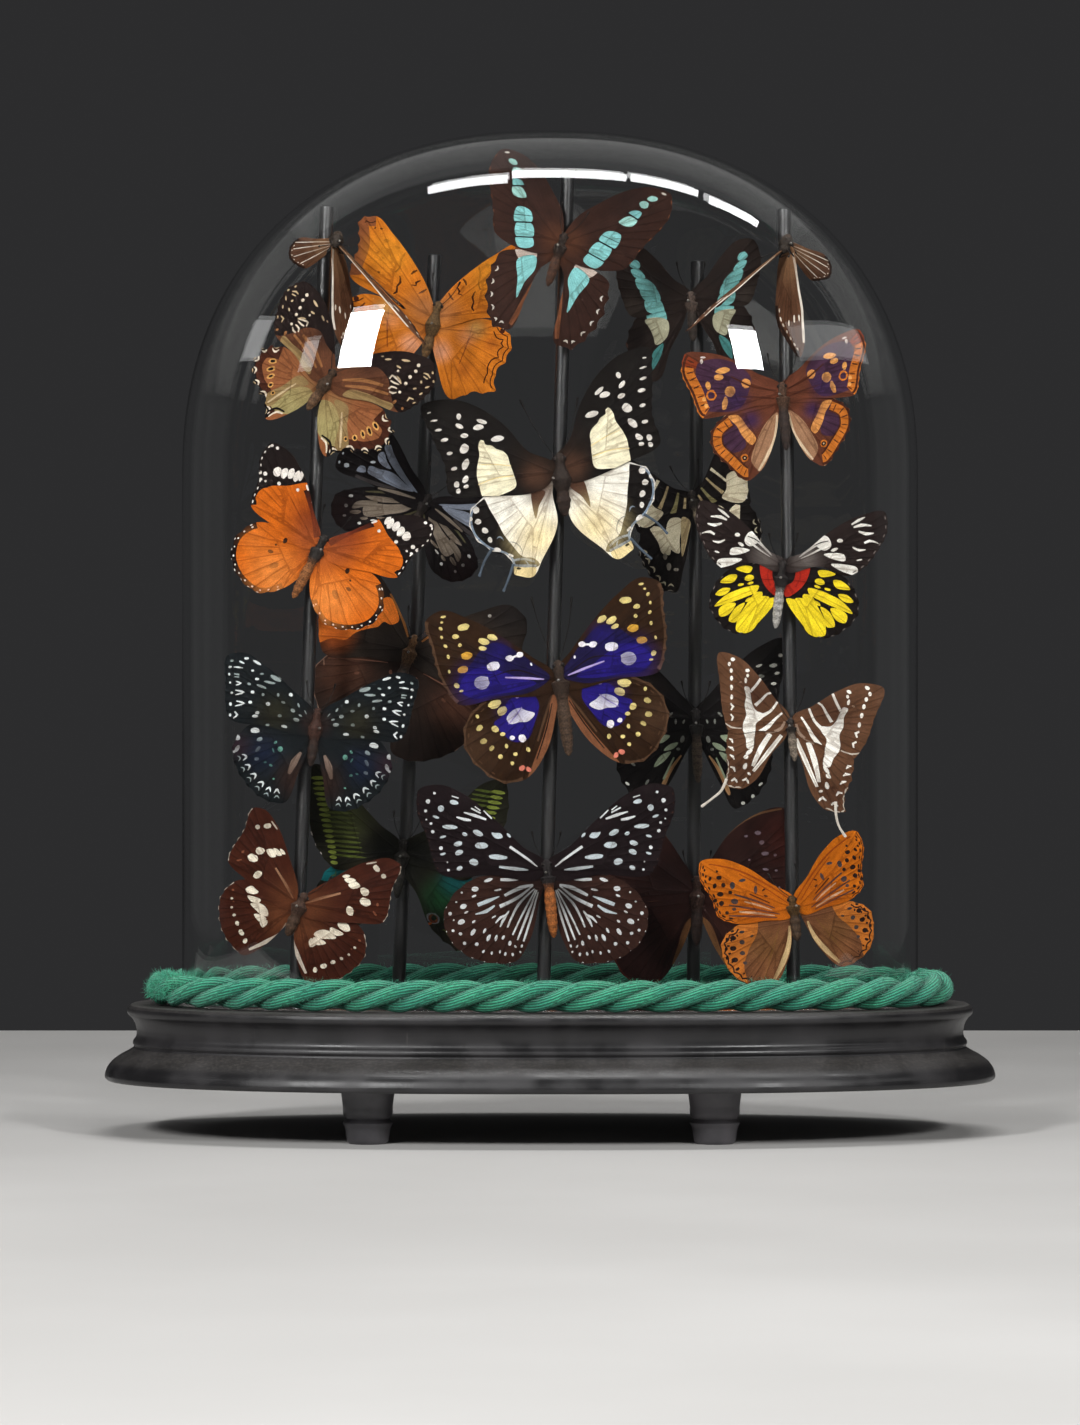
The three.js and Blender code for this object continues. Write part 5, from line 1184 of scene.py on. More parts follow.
        ("patches", "peach", [(-21, -8.6), (-18, -8), (-13.6, -12.6), (-10.2, -18.4), (-11.4, -19.8),
         (-15, -17), (-17.6, -12.6)]),
        ("patches", "fawn", [(-2, -7), (-6, -11), (-10, -19), (-11.6, -27), (-8.6, -30), (-3.4, -20)]),
        ("spots", "orange", (-14.5, -25, 1.6)),
        ("spots", "black", (-14.5, -25, 1)),
        ("spots", "edge", (-14.5, -25, 0.35)),
        ("lines", "edge", [(-1.8, -8, 0.25), (-2.6, -17, 0.6), (-5.6, -24, 0.6), (-9, -30, 0.3)])],
}, {
    "name": "jezebel", "rod": 4, "at": [92, 221],
    "fore": [[0, 6], [8, 10], [18, 18], [30, 24.5], [41, 26], [42, 20], [38, 11], [31, 3], [27, 1],
     [14, 4.5], [1, 3]],
    "hind": [[1, 5], [14, 4], [25, 0], [30, -7], [30.5, -14], [26, -20], [18, -24], [12, -23.5], [5, -15],
     [0, -6]],
    "tips": [[41, 26], [14, -24]], "far_tips": [[-33, 30], [-16, -22.5]], "lift": [-7, -2, 3, 2],
    "body": [[0, 7], [-3, -20], 2.8], "margin": [[4, 8], [2, 7]], "teeth": [0.3, 0.5], "veins": [8, 7],
    "ground": ["ground", "black"], "body_tints": ["1d1715", "ddd7cf"],
    "colours": {"ground": "2c2220", "black": "1a1312", "white": "e9e6df", "grey": "7c7470", "red": "b23424",
     "yellow": "f2da35", "deep": "9a2a20"},
    "fore_marks": [
        ("glow", "grey", 9, 8, 10, 0.7),
        ("patches", "white", [(12, 13.6), (14, 16.8), (17.8, 16.2), (19, 12.4), (16.4, 10.8), (14, 12)]),
        ("lines", "white", [(6.4, 8.2, 0.1), (10, 11, 0.5), (14, 13.6, 0.6)], [(7, 7.6, 0.1),
         (11, 9.4, 0.35), (15, 11.6, 0.4)]),
        ("lines", "black", [(12.4, 12.8, 0.15), (15, 14, 0.25), (18, 14.6, 0.15)]),
        ("spots", "white", (20.4, 11.2, 1.5, 0.6, 20), (22.6, 14.8, 1.2, 0.8)),
        ("patches", "white", [(16.2, 9.4), (20, 9.9), (24.6, 8.8), (24.8, 7), (21, 7.1)], [(19, 5.5),
         (24, 5.4), (29.8, 3.4), (29.4, 1.4), (25, 2)]),
        ("lines", "white", [(27.2, 21.2, 0.25), (30, 22.9, 0.55), (32.6, 24.2, 0.15)], [(28, 20.1, 0.25),
         (31, 21, 0.65), (35.2, 20.8, 0.15)], [(30, 18.6, 0.25), (33, 17.6, 0.65), (36.2, 17.9, 0.15)],
         [(32.4, 13.9, 0.4), (34.4, 14.8, 0.5), (38, 13.8, 0.1)], [(27.6, 12.3, 0.25), (30.4, 11, 0.5),
         (32.8, 11.3, 0.15)]),
        ("spots", "white", (30.4, 7.2, 1.2, 0.35, 10)),
        ("row", "grey", 8, 0.9, 0.8, 0.25)],
    "hind_marks": [
        ("patches", "red", [(2.8, 7), (10.6, 5.4), (9.4, -1), (6.2, -5), (1, -7.4), (0, -4), (4, -1.4),
         (5, 2)]),
        ("lines", "deep", [(5.4, 5, 0.2), (7, 1, 0.35), (5, -3.6, 0.25)]),
        ("patches", "yellow", [(13.8, 2.6), (17, 3.1), (21, 1.4), (18.4, 0.6), (14.6, 0.7)]),
        ("spots", "yellow", (14.5, -1.5, 2.1, 1.2, 165), (13.7, -3.5, 1.4, 0.5, 160),
         (17.8, -4.5, 1.4, 0.5, 165)),
        ("patches", "yellow", [(20, -1), (22.6, -0.9), (26.8, -4.6), (24, -4.6), (21, -3.7)], [(22, -6.6),
         (25.4, -6.6), (28.2, -9.6), (26, -9.8), (23.4, -8.7)], [(9.8, -4.4), (15, -5), (18.6, -6.5),
         (24, -9.5), (27.8, -14.2), (24, -13), (19, -11), (14, -8.6), (10.4, -6.4)], [(19, -12), (23, -12.6),
         (25.8, -15), (25, -17.8), (22, -17.2)], [(15, -11.4), (17.4, -12.5), (20, -15.8), (20.8, -19.2),
         (18, -19.6), (16.2, -15)], [(8.3, -6.4), (10.6, -6.8), (14.2, -12), (17.2, -19), (16.8, -22.8),
         (14, -23.2), (11.2, -18), (8.3, -11)], [(5.2, -8), (7.6, -8), (10.8, -16), (13.6, -23.4),
         (11, -22.6), (7.2, -16.6)], [(1.4, -8.2), (4.6, -8.6), (8.4, -15), (10.2, -21.2), (6.6, -17),
         (2.8, -12)], [(12.8, -9), (14.6, -9.9), (15, -11), (13.4, -10.7)]),
        ("row", "grey", 7, 0.7, 0.8, 0.22)],
}, {
    "name": "striped_swordtail", "rod": 4, "at": [94.5, 162.5],
    "fore": [[0, 3], [-6, 11], [-13, 20.5], [-20, 27], [-27.5, 29], [-27.5, 16], [-26, 3], [-24, -2],
     [-12, -2], [-1, -1]],
    "hind": [[-1, 1], [-13, -1], [-24, -2], [-25.5, -9], [-25, -18], [-26, -23], [-19, -25], [-14, -22],
     [-7, -11], [-1, -3]],
    "tips": [[-27, 29], [-19, -25]], "far_tips": [[36.5, 15.5], [14, -33]], "lift": [2, 3, -6, 2],
    "body": [[0, 3], [2, -14], 2.4], "tails": [[[-25, -21], [-27, -25.5], [-31, -29], [-35, -32]]],
    "far_tails": [[[18, -30], [18, -34], [19.4, -40], [22, -44]]], "tail_tint": "d6cfc5",
    "margin": [[4, 7], [2, 6]], "teeth": [0.2, 0.8], "veins": [8, 7], "ground": ["ground", "ground"],
    "body_tints": ["2c2420", "9a8a7a"],
    "colours": {"ground": "6a4c38", "white": "f6f3ec", "dim": "a08a7a", "dark": "3a2018", "edge": "c9c0b4"},
    "fore_marks": [
        ("glow", "dark", -13, 12, 12, 0.5),
        ("spots", "white", (-22.4, 26.2, 0.9, 0.8), (-23.8, 24.4, 0.6, 0.9), (-23, 21.8, 0.65, 0.9),
         (-22.9, 18.8, 0.6, 1), (-22.9, 15.2, 0.6, 1.1), (-22.9, 11.3, 0.55, 1.1)),
        ("lines", "white", [(-23.4, 8.8, 0.3), (-22.4, 7.6, 0.5), (-23.2, 6.2, 0.3)], [(-23.4, 4.6, 0.3),
         (-22.4, 3.4, 0.4), (-23, 2, 0.3)]),
        ("lines", "edge", [(-25.4, 1, 0.2), (-23, -0.6, 0.3), (-19, -1, 0.2)]),
        ("spots", "white", (-16.7, 21.8, 0.9, 0.8), (-16.6, 19.8, 0.6, 0.7), (-17.4, 17.8, 0.5, 1.2)),
        ("patches", "white", [(-17.6, 15.6), (-16.4, 15.4), (-15.4, 12), (-15, 9.4), (-13.6, 6.2),
         (-10.2, 4.2), (-10.8, 3), (-13.4, 0.8), (-13.8, -2.6), (-18.2, -2.6), (-18.5, 0.4), (-17.2, 4.4),
         (-17.8, 8), (-17.2, 11.6)]),
        ("lines", "white", [(-15.6, 13.4, 0.5), (-13.6, 15.6, 0.5), (-11.4, 18.6, 0.5)], [(-13.6, 8, 0.7),
         (-10.8, 10.6, 0.5), (-8.8, 12.6, 0.4), (-6.9, 13, 0.35)], [(-11, 3.9, 0.8), (-7.8, 5.6, 0.5),
         (-4.9, 9.4, 0.4)], [(-11.8, -2.6, 0.9), (-8.4, -0.2, 0.8), (-6, 2.4, 0.5), (-3, 5, 0.35)]),
        ("lines", "dim", [(-6, -2.4, 0.7), (-3.4, -1, 0.6), (-2, 1.6, 0.4)]),
        ("spots", "dim", (-13.4, 22.7, 1.3, 0.6), (-19.4, 17.2, 0.6, 0.4))],
    "hind_marks": [
        ("patches", "white", [(-18.4, -1.4), (-13.8, -1.4), (-14, -5), (-15, -9.4), (-16.4, -9.2),
         (-17.3, -5)]),
        ("spots", "white", (-16, -10.4, 1.7, 0.8, 40), (-17.2, -12.3, 1, 0.8, 20),
         (-17.6, -16, 0.8, 1.4, 160), (-16, -19, 0.9, 0.5, 140)),
        ("lines", "white", [(-7.6, -3.2, 0.9), (-11, -8.4, 1.1), (-14.6, -16, 0.6)], [(-3.2, -3.8, 0.7),
         (-8, -10, 0.9), (-14.4, -18, 0.5)]),
        ("lines", "dim", [(-5.4, -2.2, 0.5), (-9.6, -2.8, 0.4)]),
        ("lines", "white", [(-23.9, -5, 0.15), (-22.8, -5.6, 0.5), (-22.4, -6.9, 0.15)],
         [(-24.3, -8.2, 0.15), (-22.8, -8.8, 0.55), (-22, -9.9, 0.15)], [(-23.6, -11.4, 0.2),
         (-22.4, -12.2, 0.5), (-21.8, -13.4, 0.2)], [(-23.4, -16.2, 0.25), (-22, -16.6, 0.5),
         (-21.5, -18.2, 0.25)], [(-23, -21.8, 0.25), (-21.7, -20.9, 0.55), (-20.7, -22.4, 0.25)],
         [(-18.7, -21.6, 0.25), (-17.2, -21, 0.55), (-16.2, -22.8, 0.25)]),
        ("lunes", "edge", 6, 0.5, 1.6, 0.25, 0.4, 0.4),
        ("glow", "dark", -20, -18, 9, 0.4)],
}, {
    "name": "orange_fritillary", "rod": 4, "at": [96.5, 91.5],
    "fore": [[0, 2], [-10, 9], [-20, 15.5], [-30, 18.5], [-37.5, 17], [-38, 12], [-33, 2], [-30, -5],
     [-24, -7], [-12, -6], [-1, -4]],
    "hind": [[-1, -3], [-13, -6], [-23, -8], [-29, -14], [-28, -22], [-24, -28], [-17, -31.5], [-8, -31],
     [-3, -22], [-1, -9]],
    "tips": [[-37.5, 17], [-8, -31]], "far_tips": [[25, 29], [19, -24.5]], "lift": [3, 2, -6, -6],
    "body": [[-1.5, 4], [1, -14], 3], "margin": [[4, 8], [2, 7]], "teeth": [0.4, 0.5], "veins": [8, 8],
    "ground": ["orange", "brown"], "body_tints": ["5a4020", "5a4432"],
    "colours": {"orange": "c06e18", "black": "30201b", "slate": "4a4548", "pale": "e2c2a2", "pink": "a06e4c",
     "brown": "7c543a", "rust": "9c4e16", "olive": "7c5a34", "cream": "d9bd90", "amber": "c87c36"},
    "fore_marks": [
        ("glow", "rust", -14, -3, 14, 0.5),
        ("spots", "black", (-30, 11, 1.2, 0.9), (-28.3, 8.1, 0.9), (-31.7, 7.8, 0.8, 1.1, 160),
         (-29.5, 4.5, 1.3, 1), (-29, 0.9, 1.1, 1), (-31.4, 2, 0.8, 0.9), (-31, -1.4, 0.8),
         (-33.6, 10.6, 0.6, 1, 160), (-35.7, 14, 0.4, 0.6), (-35.2, 11.5, 0.4, 0.6), (-30.8, 13.5, 0.5),
         (-25.6, 5.2, 0.9, 0.8), (-26.8, -2.8, 0.8, 0.7)),
        ("spots", "slate", (-24.7, 8, 1, 1.5), (-20.8, 10, 1.4, 0.6, 10), (-23.8, 1.7, 1.5, 1.2, 170),
         (-24, -1.4, 0.9, 0.7), (-15.6, 6.2, 0.7, 1.7)),
        ("spots", "black", (-12.2, 6.4, 1.1, 0.4, 40), (-11.6, 3.8, 0.9, 0.4, 160)),
        ("lines", "slate", [(-8, -1, 0.2), (-16, 2, 0.45), (-24, 4.4, 0.25)]),
        ("lines", "black", [(-10, 1, 0.25), (-18, 4.6, 0.3)]),
        ("lines", "slate", [(-6, -3.4, 0.15), (-16, -1.4, 0.45), (-26, 0.2, 0.2)], [(-7, -4.8, 0.15),
         (-17, -4.2, 0.4), (-26, -4, 0.2)]),
        ("lines", "pale", [(-9, -1.8, 0.1), (-14, 0, 0.4), (-20, 1.6, 0.2)], [(-8, -4, 0.15),
         (-16, -2.9, 0.5), (-22, -2.4, 0.3)]),
        ("lines", "rust", [(-2, 2.4, 0.2), (-12, 8.8, 0.4), (-24, 14.4, 0.35), (-34, 16.4, 0.2)],
         [(-3, 1, 0.2), (-12, 7, 0.25), (-22, 12.4, 0.2)]),
        ("row", "black", 9, 1.8, 0.9, 0.4),
        ("wave", "black", 9, 0.5, 0.4, 0.16)],
    "hind_marks": [
        ("patches", "amber", [(-15, -5), (-24, -7), (-31, -14), (-30, -22), (-25, -30), (-19, -31),
         (-20, -24), (-18, -17), (-15, -11)]),
        ("glow", "olive", -12, -17, 13, 0.55),
        ("glow", "pink", -12, -26, 9, 0.5),
        ("spots", "black", (-24.4, -12.8, 1.3, 1), (-24.3, -16.8, 1.3, 1), (-23.6, -21.4, 1.4, 1, 10),
         (-27, -17, 0.7, 0.9), (-26.6, -20.6, 0.6, 0.9), (-24.8, -10, 0.8, 0.6), (-26.8, -13.4, 0.6, 0.9),
         (-22.6, -25, 1, 0.6, 30)),
        ("spots", "slate", (-20.8, -14.4, 1.1, 0.9), (-20.6, -18.7, 1.1, 0.9), (-21, -10.4, 1.1, 0.6, 10),
         (-19.6, -22.6, 0.9, 0.7), (-17, -12, 0.8, 0.5, 30)),
        ("wave", "black", 9, 1.3, 0.9, 0.3),
        ("row", "black", 10, 3.2, 0.4, 0.6),
        ("row", "olive", 9, 0.3, 1.1, 0.2),
        ("lines", "olive", [(-6, -8, 0.2), (-9, -18, 0.3), (-12, -29, 0.3)]),
        ("lines", "cream", [(-2.2, -8, 0.3), (-2.4, -15, 0.9), (-4.6, -22, 1.1), (-8, -29, 0.5)])],
}]


# Two brown specimens lie tilted on the tops of the outer rods, with three wings seen nearly from
# their edges and the fourth folded out. Their outlines are one right side, laid flat, and each wing
# is hung by two of its points, given as [x, forward, z].
FORE_TIPS = [[39, 26], [28, -1]]
HIND_TIPS = [[16, -30], [35, -10]]
BROWN = {
    "fore": [[0, 3], [10, 13], [22, 23], [33, 28], [39, 26], [38, 14], [34, 3], [28, -1], [1, -1]],
    "hind": [[1, 1], [16, 0], [30, -2], [35, -10], [33, -20], [25, -28], [16, -30], [7, -20], [1, -6]],
    "margin": [[4, 7], [2, 6]], "teeth": [0.3, 0.6], "veins": [7, 7],
    "colours": {"ground": "6b4c39", "pale": "9c7a5c", "white": "efe6da", "dark": "3a2820"},
    "ground": ["ground", "ground"], "body_tints": ["2e241c", "4e3c2e"],
    "fore_marks": [
        ("band", "dark", -0.6, 2.6),
        ("row", "white", 7, 3.6, 1, 0.5),
        ("lines", "white", [(2, 5, 0.8), (12, 14.8, 1.1), (23, 23.4, 1.1), (32, 27.6, 0.9)]),
        ("spots", "white", (26, 17, 1.6, 0.9, 30), (30, 12, 1.4, 0.8, 20), (24, 20.6, 1.4, 0.7, 40)),
        ("glow", "pale", 6, 3, 16, 0.7)],
    "hind_marks": [
        ("band", "dark", -0.6, 2.2),
        ("row", "white", 7, 3.2, 0.9, 0.4),
        ("glow", "pale", 8, -6, 18, 0.6),
        ("lines", "white", [(4, -1, 0.2), (18, -3.4, 0.5), (32, -6.6, 0.3)],
         [(3, -3, 0.2), (16, -7.4, 0.5), (31, -13, 0.3)], [(3, -5, 0.2), (15, -12, 0.5), (28, -20, 0.3)],
         [(3, -7, 0.2), (12, -17, 0.5), (21, -26, 0.3)])],
}
TILTED = [
    {
        "name": "brown_top_left", "rod": 0, "at": [-85, 354], "body": [[0, 5, -2], [1, -6, 4], 3],
        "fore_ends": [[[36, 8, -40], [25, -5, -26]], [[3, 8, -41], [7, -7, -24]]],
        "hind_ends": [[[14, -9, -15], [26, -8, -27]], [[-13, -10, -10], [-19, -9, -1]]],
    },
    {
        "name": "brown_top_right", "rod": 4, "at": [94.5, 353], "body": [[-2, 4, -3], [0, -6, 4], 3],
        "fore_ends": [[[3, 8, -45], [-5, -6, -24]], [[-41, 8, -34], [-28, -5, -22]]],
        "hind_ends": [[[10, -10, -14], [18, -9, -8]], [[-18, -9, -13], [-29, -8, -23]]],
    },
]


# Materials

def tree(name):
    """A material, with its nodes and its shader, and short ways to add nodes and links."""
    material = bpy.data.materials.new(name)
    material.use_nodes = True
    nodes, links = material.node_tree.nodes, material.node_tree.links
    shader = nodes["Principled BSDF"]

    def node(kind, **values):
        made = nodes.new(kind)
        for key, value in values.items():
            if hasattr(made, key):
                setattr(made, key, value)
            else:
                made.inputs[key.replace("_", " ")].default_value = value
        return made

    def link(start, output, end, socket):
        links.new(start.outputs[output], end.inputs[socket])

    return material, shader, node, link


def mix(node, link, kind, share, first, second):
    """A colour mix. Each of share, first and second is a value, or a node with an output's name."""
    made = node("ShaderNodeMix", data_type="RGBA", blend_type=kind)
    for socket, value in ((0, share), (6, first), (7, second)):
        if isinstance(value, tuple) and not isinstance(value[0], (int, float)):
            link(*value, made, socket)
        elif socket == 0:
            made.inputs[0].default_value = value
        else:
            made.inputs[socket].default_value = (*value[:3], 1)
    return (made, 2)


def span(node, link, source, low, high, start=0.0, end=1.0):
    """A smooth change from start to end as the source goes from low to high."""
    made = node("ShaderNodeMapRange", interpolation_type="SMOOTHSTEP")
    made.inputs[1].default_value = low
    made.inputs[2].default_value = high
    made.inputs[3].default_value = start
    made.inputs[4].default_value = end
    link(*source, made, 0)
    return (made, 0)


def maths(node, link, operation, first, second):
    """Two values combined; each is a node with an output."""
    made = node("ShaderNodeMath", operation=operation)
    link(*first, made, 0)
    link(*second, made, 1)
    return (made, 0)


def mottle(node, link, base, source, dark, light):
    """Multiplies a colour by one that goes from dark to light as the source rises."""
    tint = mix(node, link, "MIX", span(node, link, source, 0.3, 0.7), dark, light)
    return mix(node, link, "MULTIPLY", 1.0, base, tint)


def grain(node, link, scale, detail, vector=None):
    made = node("ShaderNodeTexNoise")
    made.inputs["Scale"].default_value = scale
    made.inputs["Detail"].default_value = detail
    link(*(vector or (node("ShaderNodeTexCoord"), "Object")), made, "Vector")
    return (made, 0)


def streaks(node, link, scale, detail, rotation=(0, 0, 0)):
    """Grain with its own scale along each axis, which draws it out into lines."""
    drawn_out = node("ShaderNodeMapping")
    drawn_out.inputs["Rotation"].default_value = rotation
    drawn_out.inputs["Scale"].default_value = scale
    link(node("ShaderNodeTexCoord"), "Object", drawn_out, "Vector")
    return grain(node, link, 1.0, detail, (drawn_out, 0))


def bump(node, link, shader, heights):
    """Stacks bumps, each a height with its strength and its depth in metres."""
    before = None
    for (source, output), strength, depth in heights:
        made = node("ShaderNodeBump")
        made.inputs["Strength"].default_value = strength
        made.inputs["Distance"].default_value = depth
        link(source, output, made, "Height")
        if before:
            link(before, "Normal", made, "Normal")
        before = made
    link(before, "Normal", shader, "Normal")


def wing_material(name, under_tint):
    material, shader, node, link = tree(name)
    deeper = node("ShaderNodeGamma", Gamma=1.16)
    link(node("ShaderNodeAttribute", attribute_name="tint"), "Color", deeper, "Color")
    tint = (deeper, "Color")
    vein = (node("ShaderNodeAttribute", attribute_name="vein"), "Fac")
    under = (node("ShaderNodeAttribute", attribute_name="under"), "Fac")
    ray = (node("ShaderNodeAttribute", attribute_name="ray"), "Vector")
    scales = grain(node, link, 3200, 2)
    blotch = grain(node, link, 220, 4)
    streak = grain(node, link, 1.1, 3, ray)
    colour = mottle(node, link, tint, streak, (0.84, 0.83, 0.82), (1.1, 1.1, 1.1))
    colour = mottle(node, link, colour, scales, (0.78, 0.78, 0.78), (1.16, 1.16, 1.16))
    colour = mottle(node, link, colour, blotch, (0.86, 0.84, 0.82), (1.1, 1.1, 1.1))
    shade = span(node, link, vein, VEIN_WIDTH * 0.4, VEIN_WIDTH * 1.6, 0.55, 0.0)
    colour = mix(node, link, "MULTIPLY", shade, colour, (0.42, 0.36, 0.32))
    pale = span(node, link, under, 0.4, 0.6, 0.0, 0.25)
    colour = mix(node, link, "MIX", pale, colour, linear(under_tint))
    link(*colour, shader, "Base Color")
    shader.inputs["Roughness"].default_value = 0.62
    shader.inputs["Specular IOR Level"].default_value = 0.05
    ridge = span(node, link, vein, 0.05, 0.5, 1.0, 0.0)
    bump(node, link, shader, [(scales, 0.25, 0.00012), (streak, 0.25, 0.0003), (ridge, 0.5, 0.00015)])
    return material


def body_material(name):
    material, shader, node, link = tree(name)
    tint = (node("ShaderNodeAttribute", attribute_name="tint"), "Color")
    fluff = grain(node, link, 1400, 3)
    colour = mottle(node, link, tint, fluff, (0.3, 0.3, 0.3), (0.85, 0.85, 0.85))
    link(*colour, shader, "Base Color")
    shader.inputs["Roughness"].default_value = 0.75
    shader.inputs["Specular IOR Level"].default_value = 0.2
    bump(node, link, shader, [(fluff, 0.6, 0.0003)])
    return material


def steel_material():
    material, shader, node, link = tree("pin_steel")
    tarnish = grain(node, link, 900, 3)
    dull = span(node, link, tarnish, 0.4, 0.7)
    link(*mix(node, link, "MIX", dull, (0.3, 0.29, 0.27), (0.08, 0.07, 0.06)), shader, "Base Color")
    shader.inputs["Metallic"].default_value = 1.0
    link(*span(node, link, tarnish, 0.3, 0.7, 0.25, 0.5), shader, "Roughness")
    return material


def black_paint(name, rough_low, rough_high, lift=1.0):
    """Satin black paint on turned wood: dusty upward faces, rubbed edges, fine scratches and brush lines. A
    lift above 1 lightens the black as painted light.
    """
    material, shader, node, link = tree(name)
    blotch = grain(node, link, 45, 6)
    fine = grain(node, link, 900, 4)
    brush = streaks(node, link, (6, 6, 900), 4)
    scratch = streaks(node, link, (900, 25, 60), 2, (0.3, 0.7, 0.9))
    # A lift above 1 is painted light: it makes the blacks lighter where more light falls
    low, high = (tuple(lift * c for c in tint) for tint in ((0.008, 0.0076, 0.0084), (0.021, 0.0195, 0.021)))
    base = mix(node, link, "MIX", span(node, link, blotch, 0.35, 0.7), low, high)
    marks = span(node, link, scratch, 0.74, 0.8, 0.0, 0.25)
    base = mix(node, link, "MIX", marks, base, (0.12, 0.11, 0.1))
    normal = node("ShaderNodeNewGeometry")
    parts = node("ShaderNodeSeparateXYZ")
    link(normal, "Normal", parts, 0)
    upward = span(node, link, (parts, "Z"), 0.55, 1.0, 0.0, 0.3)
    speck = span(node, link, fine, 0.4, 0.75, 0.35, 1.0)
    dusty = maths(node, link, "MULTIPLY", upward, speck)
    base = mix(node, link, "MIX", dusty, base, (0.19, 0.175, 0.155))
    edge = span(node, link, (normal, "Pointiness"), 0.53, 0.6, 0.0, 0.5)
    chip = span(node, link, grain(node, link, 160, 5), 0.5, 0.62)
    worn = maths(node, link, "MULTIPLY", edge, chip)
    base = mix(node, link, "MIX", worn, base, (0.11, 0.085, 0.065))
    link(*base, shader, "Base Color")
    rough = span(node, link, blotch, 0.3, 0.7, rough_low, rough_high)
    flat = span(node, link, (parts, "Z"), 0.9, 0.98, 0.0, 0.4)
    link(*maths(node, link, "ADD", rough, flat), shader, "Roughness")
    bump(node, link, shader, [(brush, 0.12, 0.0006), (fine, 0.12, 0.0003), (blotch, 0.1, 0.002),
                              (scratch, 0.05, 0.0004)])
    return material


def lacquer_material():
    material, shader, node, link = tree("rod_lacquer")
    streak = streaks(node, link, (700, 700, 18), 3)
    shift = span(node, link, streak, 0.35, 0.7)
    base = mix(node, link, "MIX", shift, (0.004, 0.004, 0.0045), (0.014, 0.013, 0.013))
    link(*base, shader, "Base Color")
    shader.inputs["Roughness"].default_value = 0.34
    bump(node, link, shader, [(streak, 0.08, 0.0002)])
    return material


def rope_material():
    material, shader, node, link = tree("green_cotton")
    tint = (node("ShaderNodeAttribute", attribute_name="tint"), "Color")
    parts = node("ShaderNodeSeparateXYZ")
    link(node("ShaderNodeAttribute", attribute_name="ray"), "Vector", parts, 0)
    wobble = grain(node, link, 260, 3)
    twist = node("ShaderNodeMath", operation="MULTIPLY_ADD")
    link(*wobble, twist, 0)
    twist.inputs[1].default_value = 2.2
    link(parts, "X", twist, 2)
    wave = node("ShaderNodeMath", operation="SINE")
    link(twist, 0, wave, 0)
    yarn = span(node, link, (wave, 0), -1.0, 1.0)
    fibre = grain(node, link, 2600, 3)
    patchy = grain(node, link, 60, 3)
    # Painted shade and highlight: the colour is darkened in the grooves between the yarns and lightened on
    # their crowns
    yarn_shade_and_highlight = mix(node, link, "MIX", yarn, (0.34, 0.42, 0.42), (1.4, 1.36, 1.34))
    colour = mix(node, link, "MULTIPLY", 1.0, tint, yarn_shade_and_highlight)
    colour = mottle(node, link, colour, fibre, (0.66, 0.7, 0.7), (1.3, 1.25, 1.25))
    colour = mottle(node, link, colour, patchy, (0.8, 0.86, 0.9), (1.12, 1.08, 1.0))
    link(*colour, shader, "Base Color")
    shader.inputs["Roughness"].default_value = 0.88
    shader.inputs["Specular IOR Level"].default_value = 0.25
    shader.inputs["Sheen Weight"].default_value = 0.5
    shader.inputs["Sheen Roughness"].default_value = 0.5
    shader.inputs["Sheen Tint"].default_value = (0.5, 0.9, 0.75, 1)
    bump(node, link, shader, [(yarn, 0.8, 0.0005), (wobble, 0.6, 0.0014), (fibre, 0.8, 0.0006)])
    return material


def glass_material():
    material, shader, node, link = tree("dome_glass")
    shader.inputs["Base Color"].default_value = (0.965, 0.975, 0.97, 1)
    shader.inputs["Roughness"].default_value = 0.0
    shader.inputs["IOR"].default_value = 1.48
    shader.inputs["Transmission Weight"].default_value = 1.0
    sweep = grain(node, link, 9, 1)
    bump(node, link, shader, [(sweep, 0.15, 0.004)])
    return material


def floor_material():
    material, shader, node, link = tree("floor_plaster")
    cloud = grain(node, link, 3, 4)
    shift = span(node, link, cloud, 0.3, 0.7)
    link(*mix(node, link, "MIX", shift, (0.5, 0.49, 0.475), (0.56, 0.55, 0.535)), shader, "Base Color")
    shader.inputs["Roughness"].default_value = 0.7
    return material


# The plinth, its feet, the rods and the dome

def oval_point(angle, half_width, half_depth):
    def squash(value):
        return math.copysign(abs(value) ** (2 / OVAL_POWER), value)
    return half_width * squash(math.cos(angle)), half_depth * squash(math.sin(angle))


def even_angles(count, half_width, half_depth):
    """Angles that space points evenly round an oval."""
    fine = np.linspace(0, 2 * math.pi, 4001)
    rim = np.array([oval_point(a, half_width, half_depth) for a in fine])
    lengths = np.concatenate([[0], np.cumsum(np.linalg.norm(np.diff(rim, axis=0), axis=1))])
    return np.interp(np.linspace(0, lengths[-1], count, endpoint=False), lengths, fine), lengths[-1]


def oval_sweep(piece, profile, depth_of, sides):
    """Sweeps a profile of (half width, height) round the oval; it starts and ends on the axis."""
    angles, _ = even_angles(sides, LIP_HALF_WIDTH, LIP_HALF_DEPTH)
    points = [[0, 0, profile[0][1]]]
    for half_width, height in profile[1:-1]:
        points += [[*oval_point(a, half_width, depth_of(half_width)), height] for a in angles]
    points.append([0, 0, profile[-1][1]])
    piece.add(points, closed_sweep(len(profile) - 2, sides), WHITE)


def make_plinth(paint):
    piece = Piece()
    curve, _ = smooth_line(MOULDING, STEP, False)
    margin = LIP_HALF_WIDTH - LIP_HALF_DEPTH
    profile = [(half, PLINTH_BOTTOM) for half in (0, 110, 160)] + [tuple(p) for p in curve]
    profile += [(half, PLINTH_TOP) for half in (160, 110, margin + 6, 0)]
    oval_sweep(piece, profile, lambda half: max(0.0, half - margin), 240)
    settle(piece.build("plinth_turned", [paint], 28), "plinth", "ebonised")


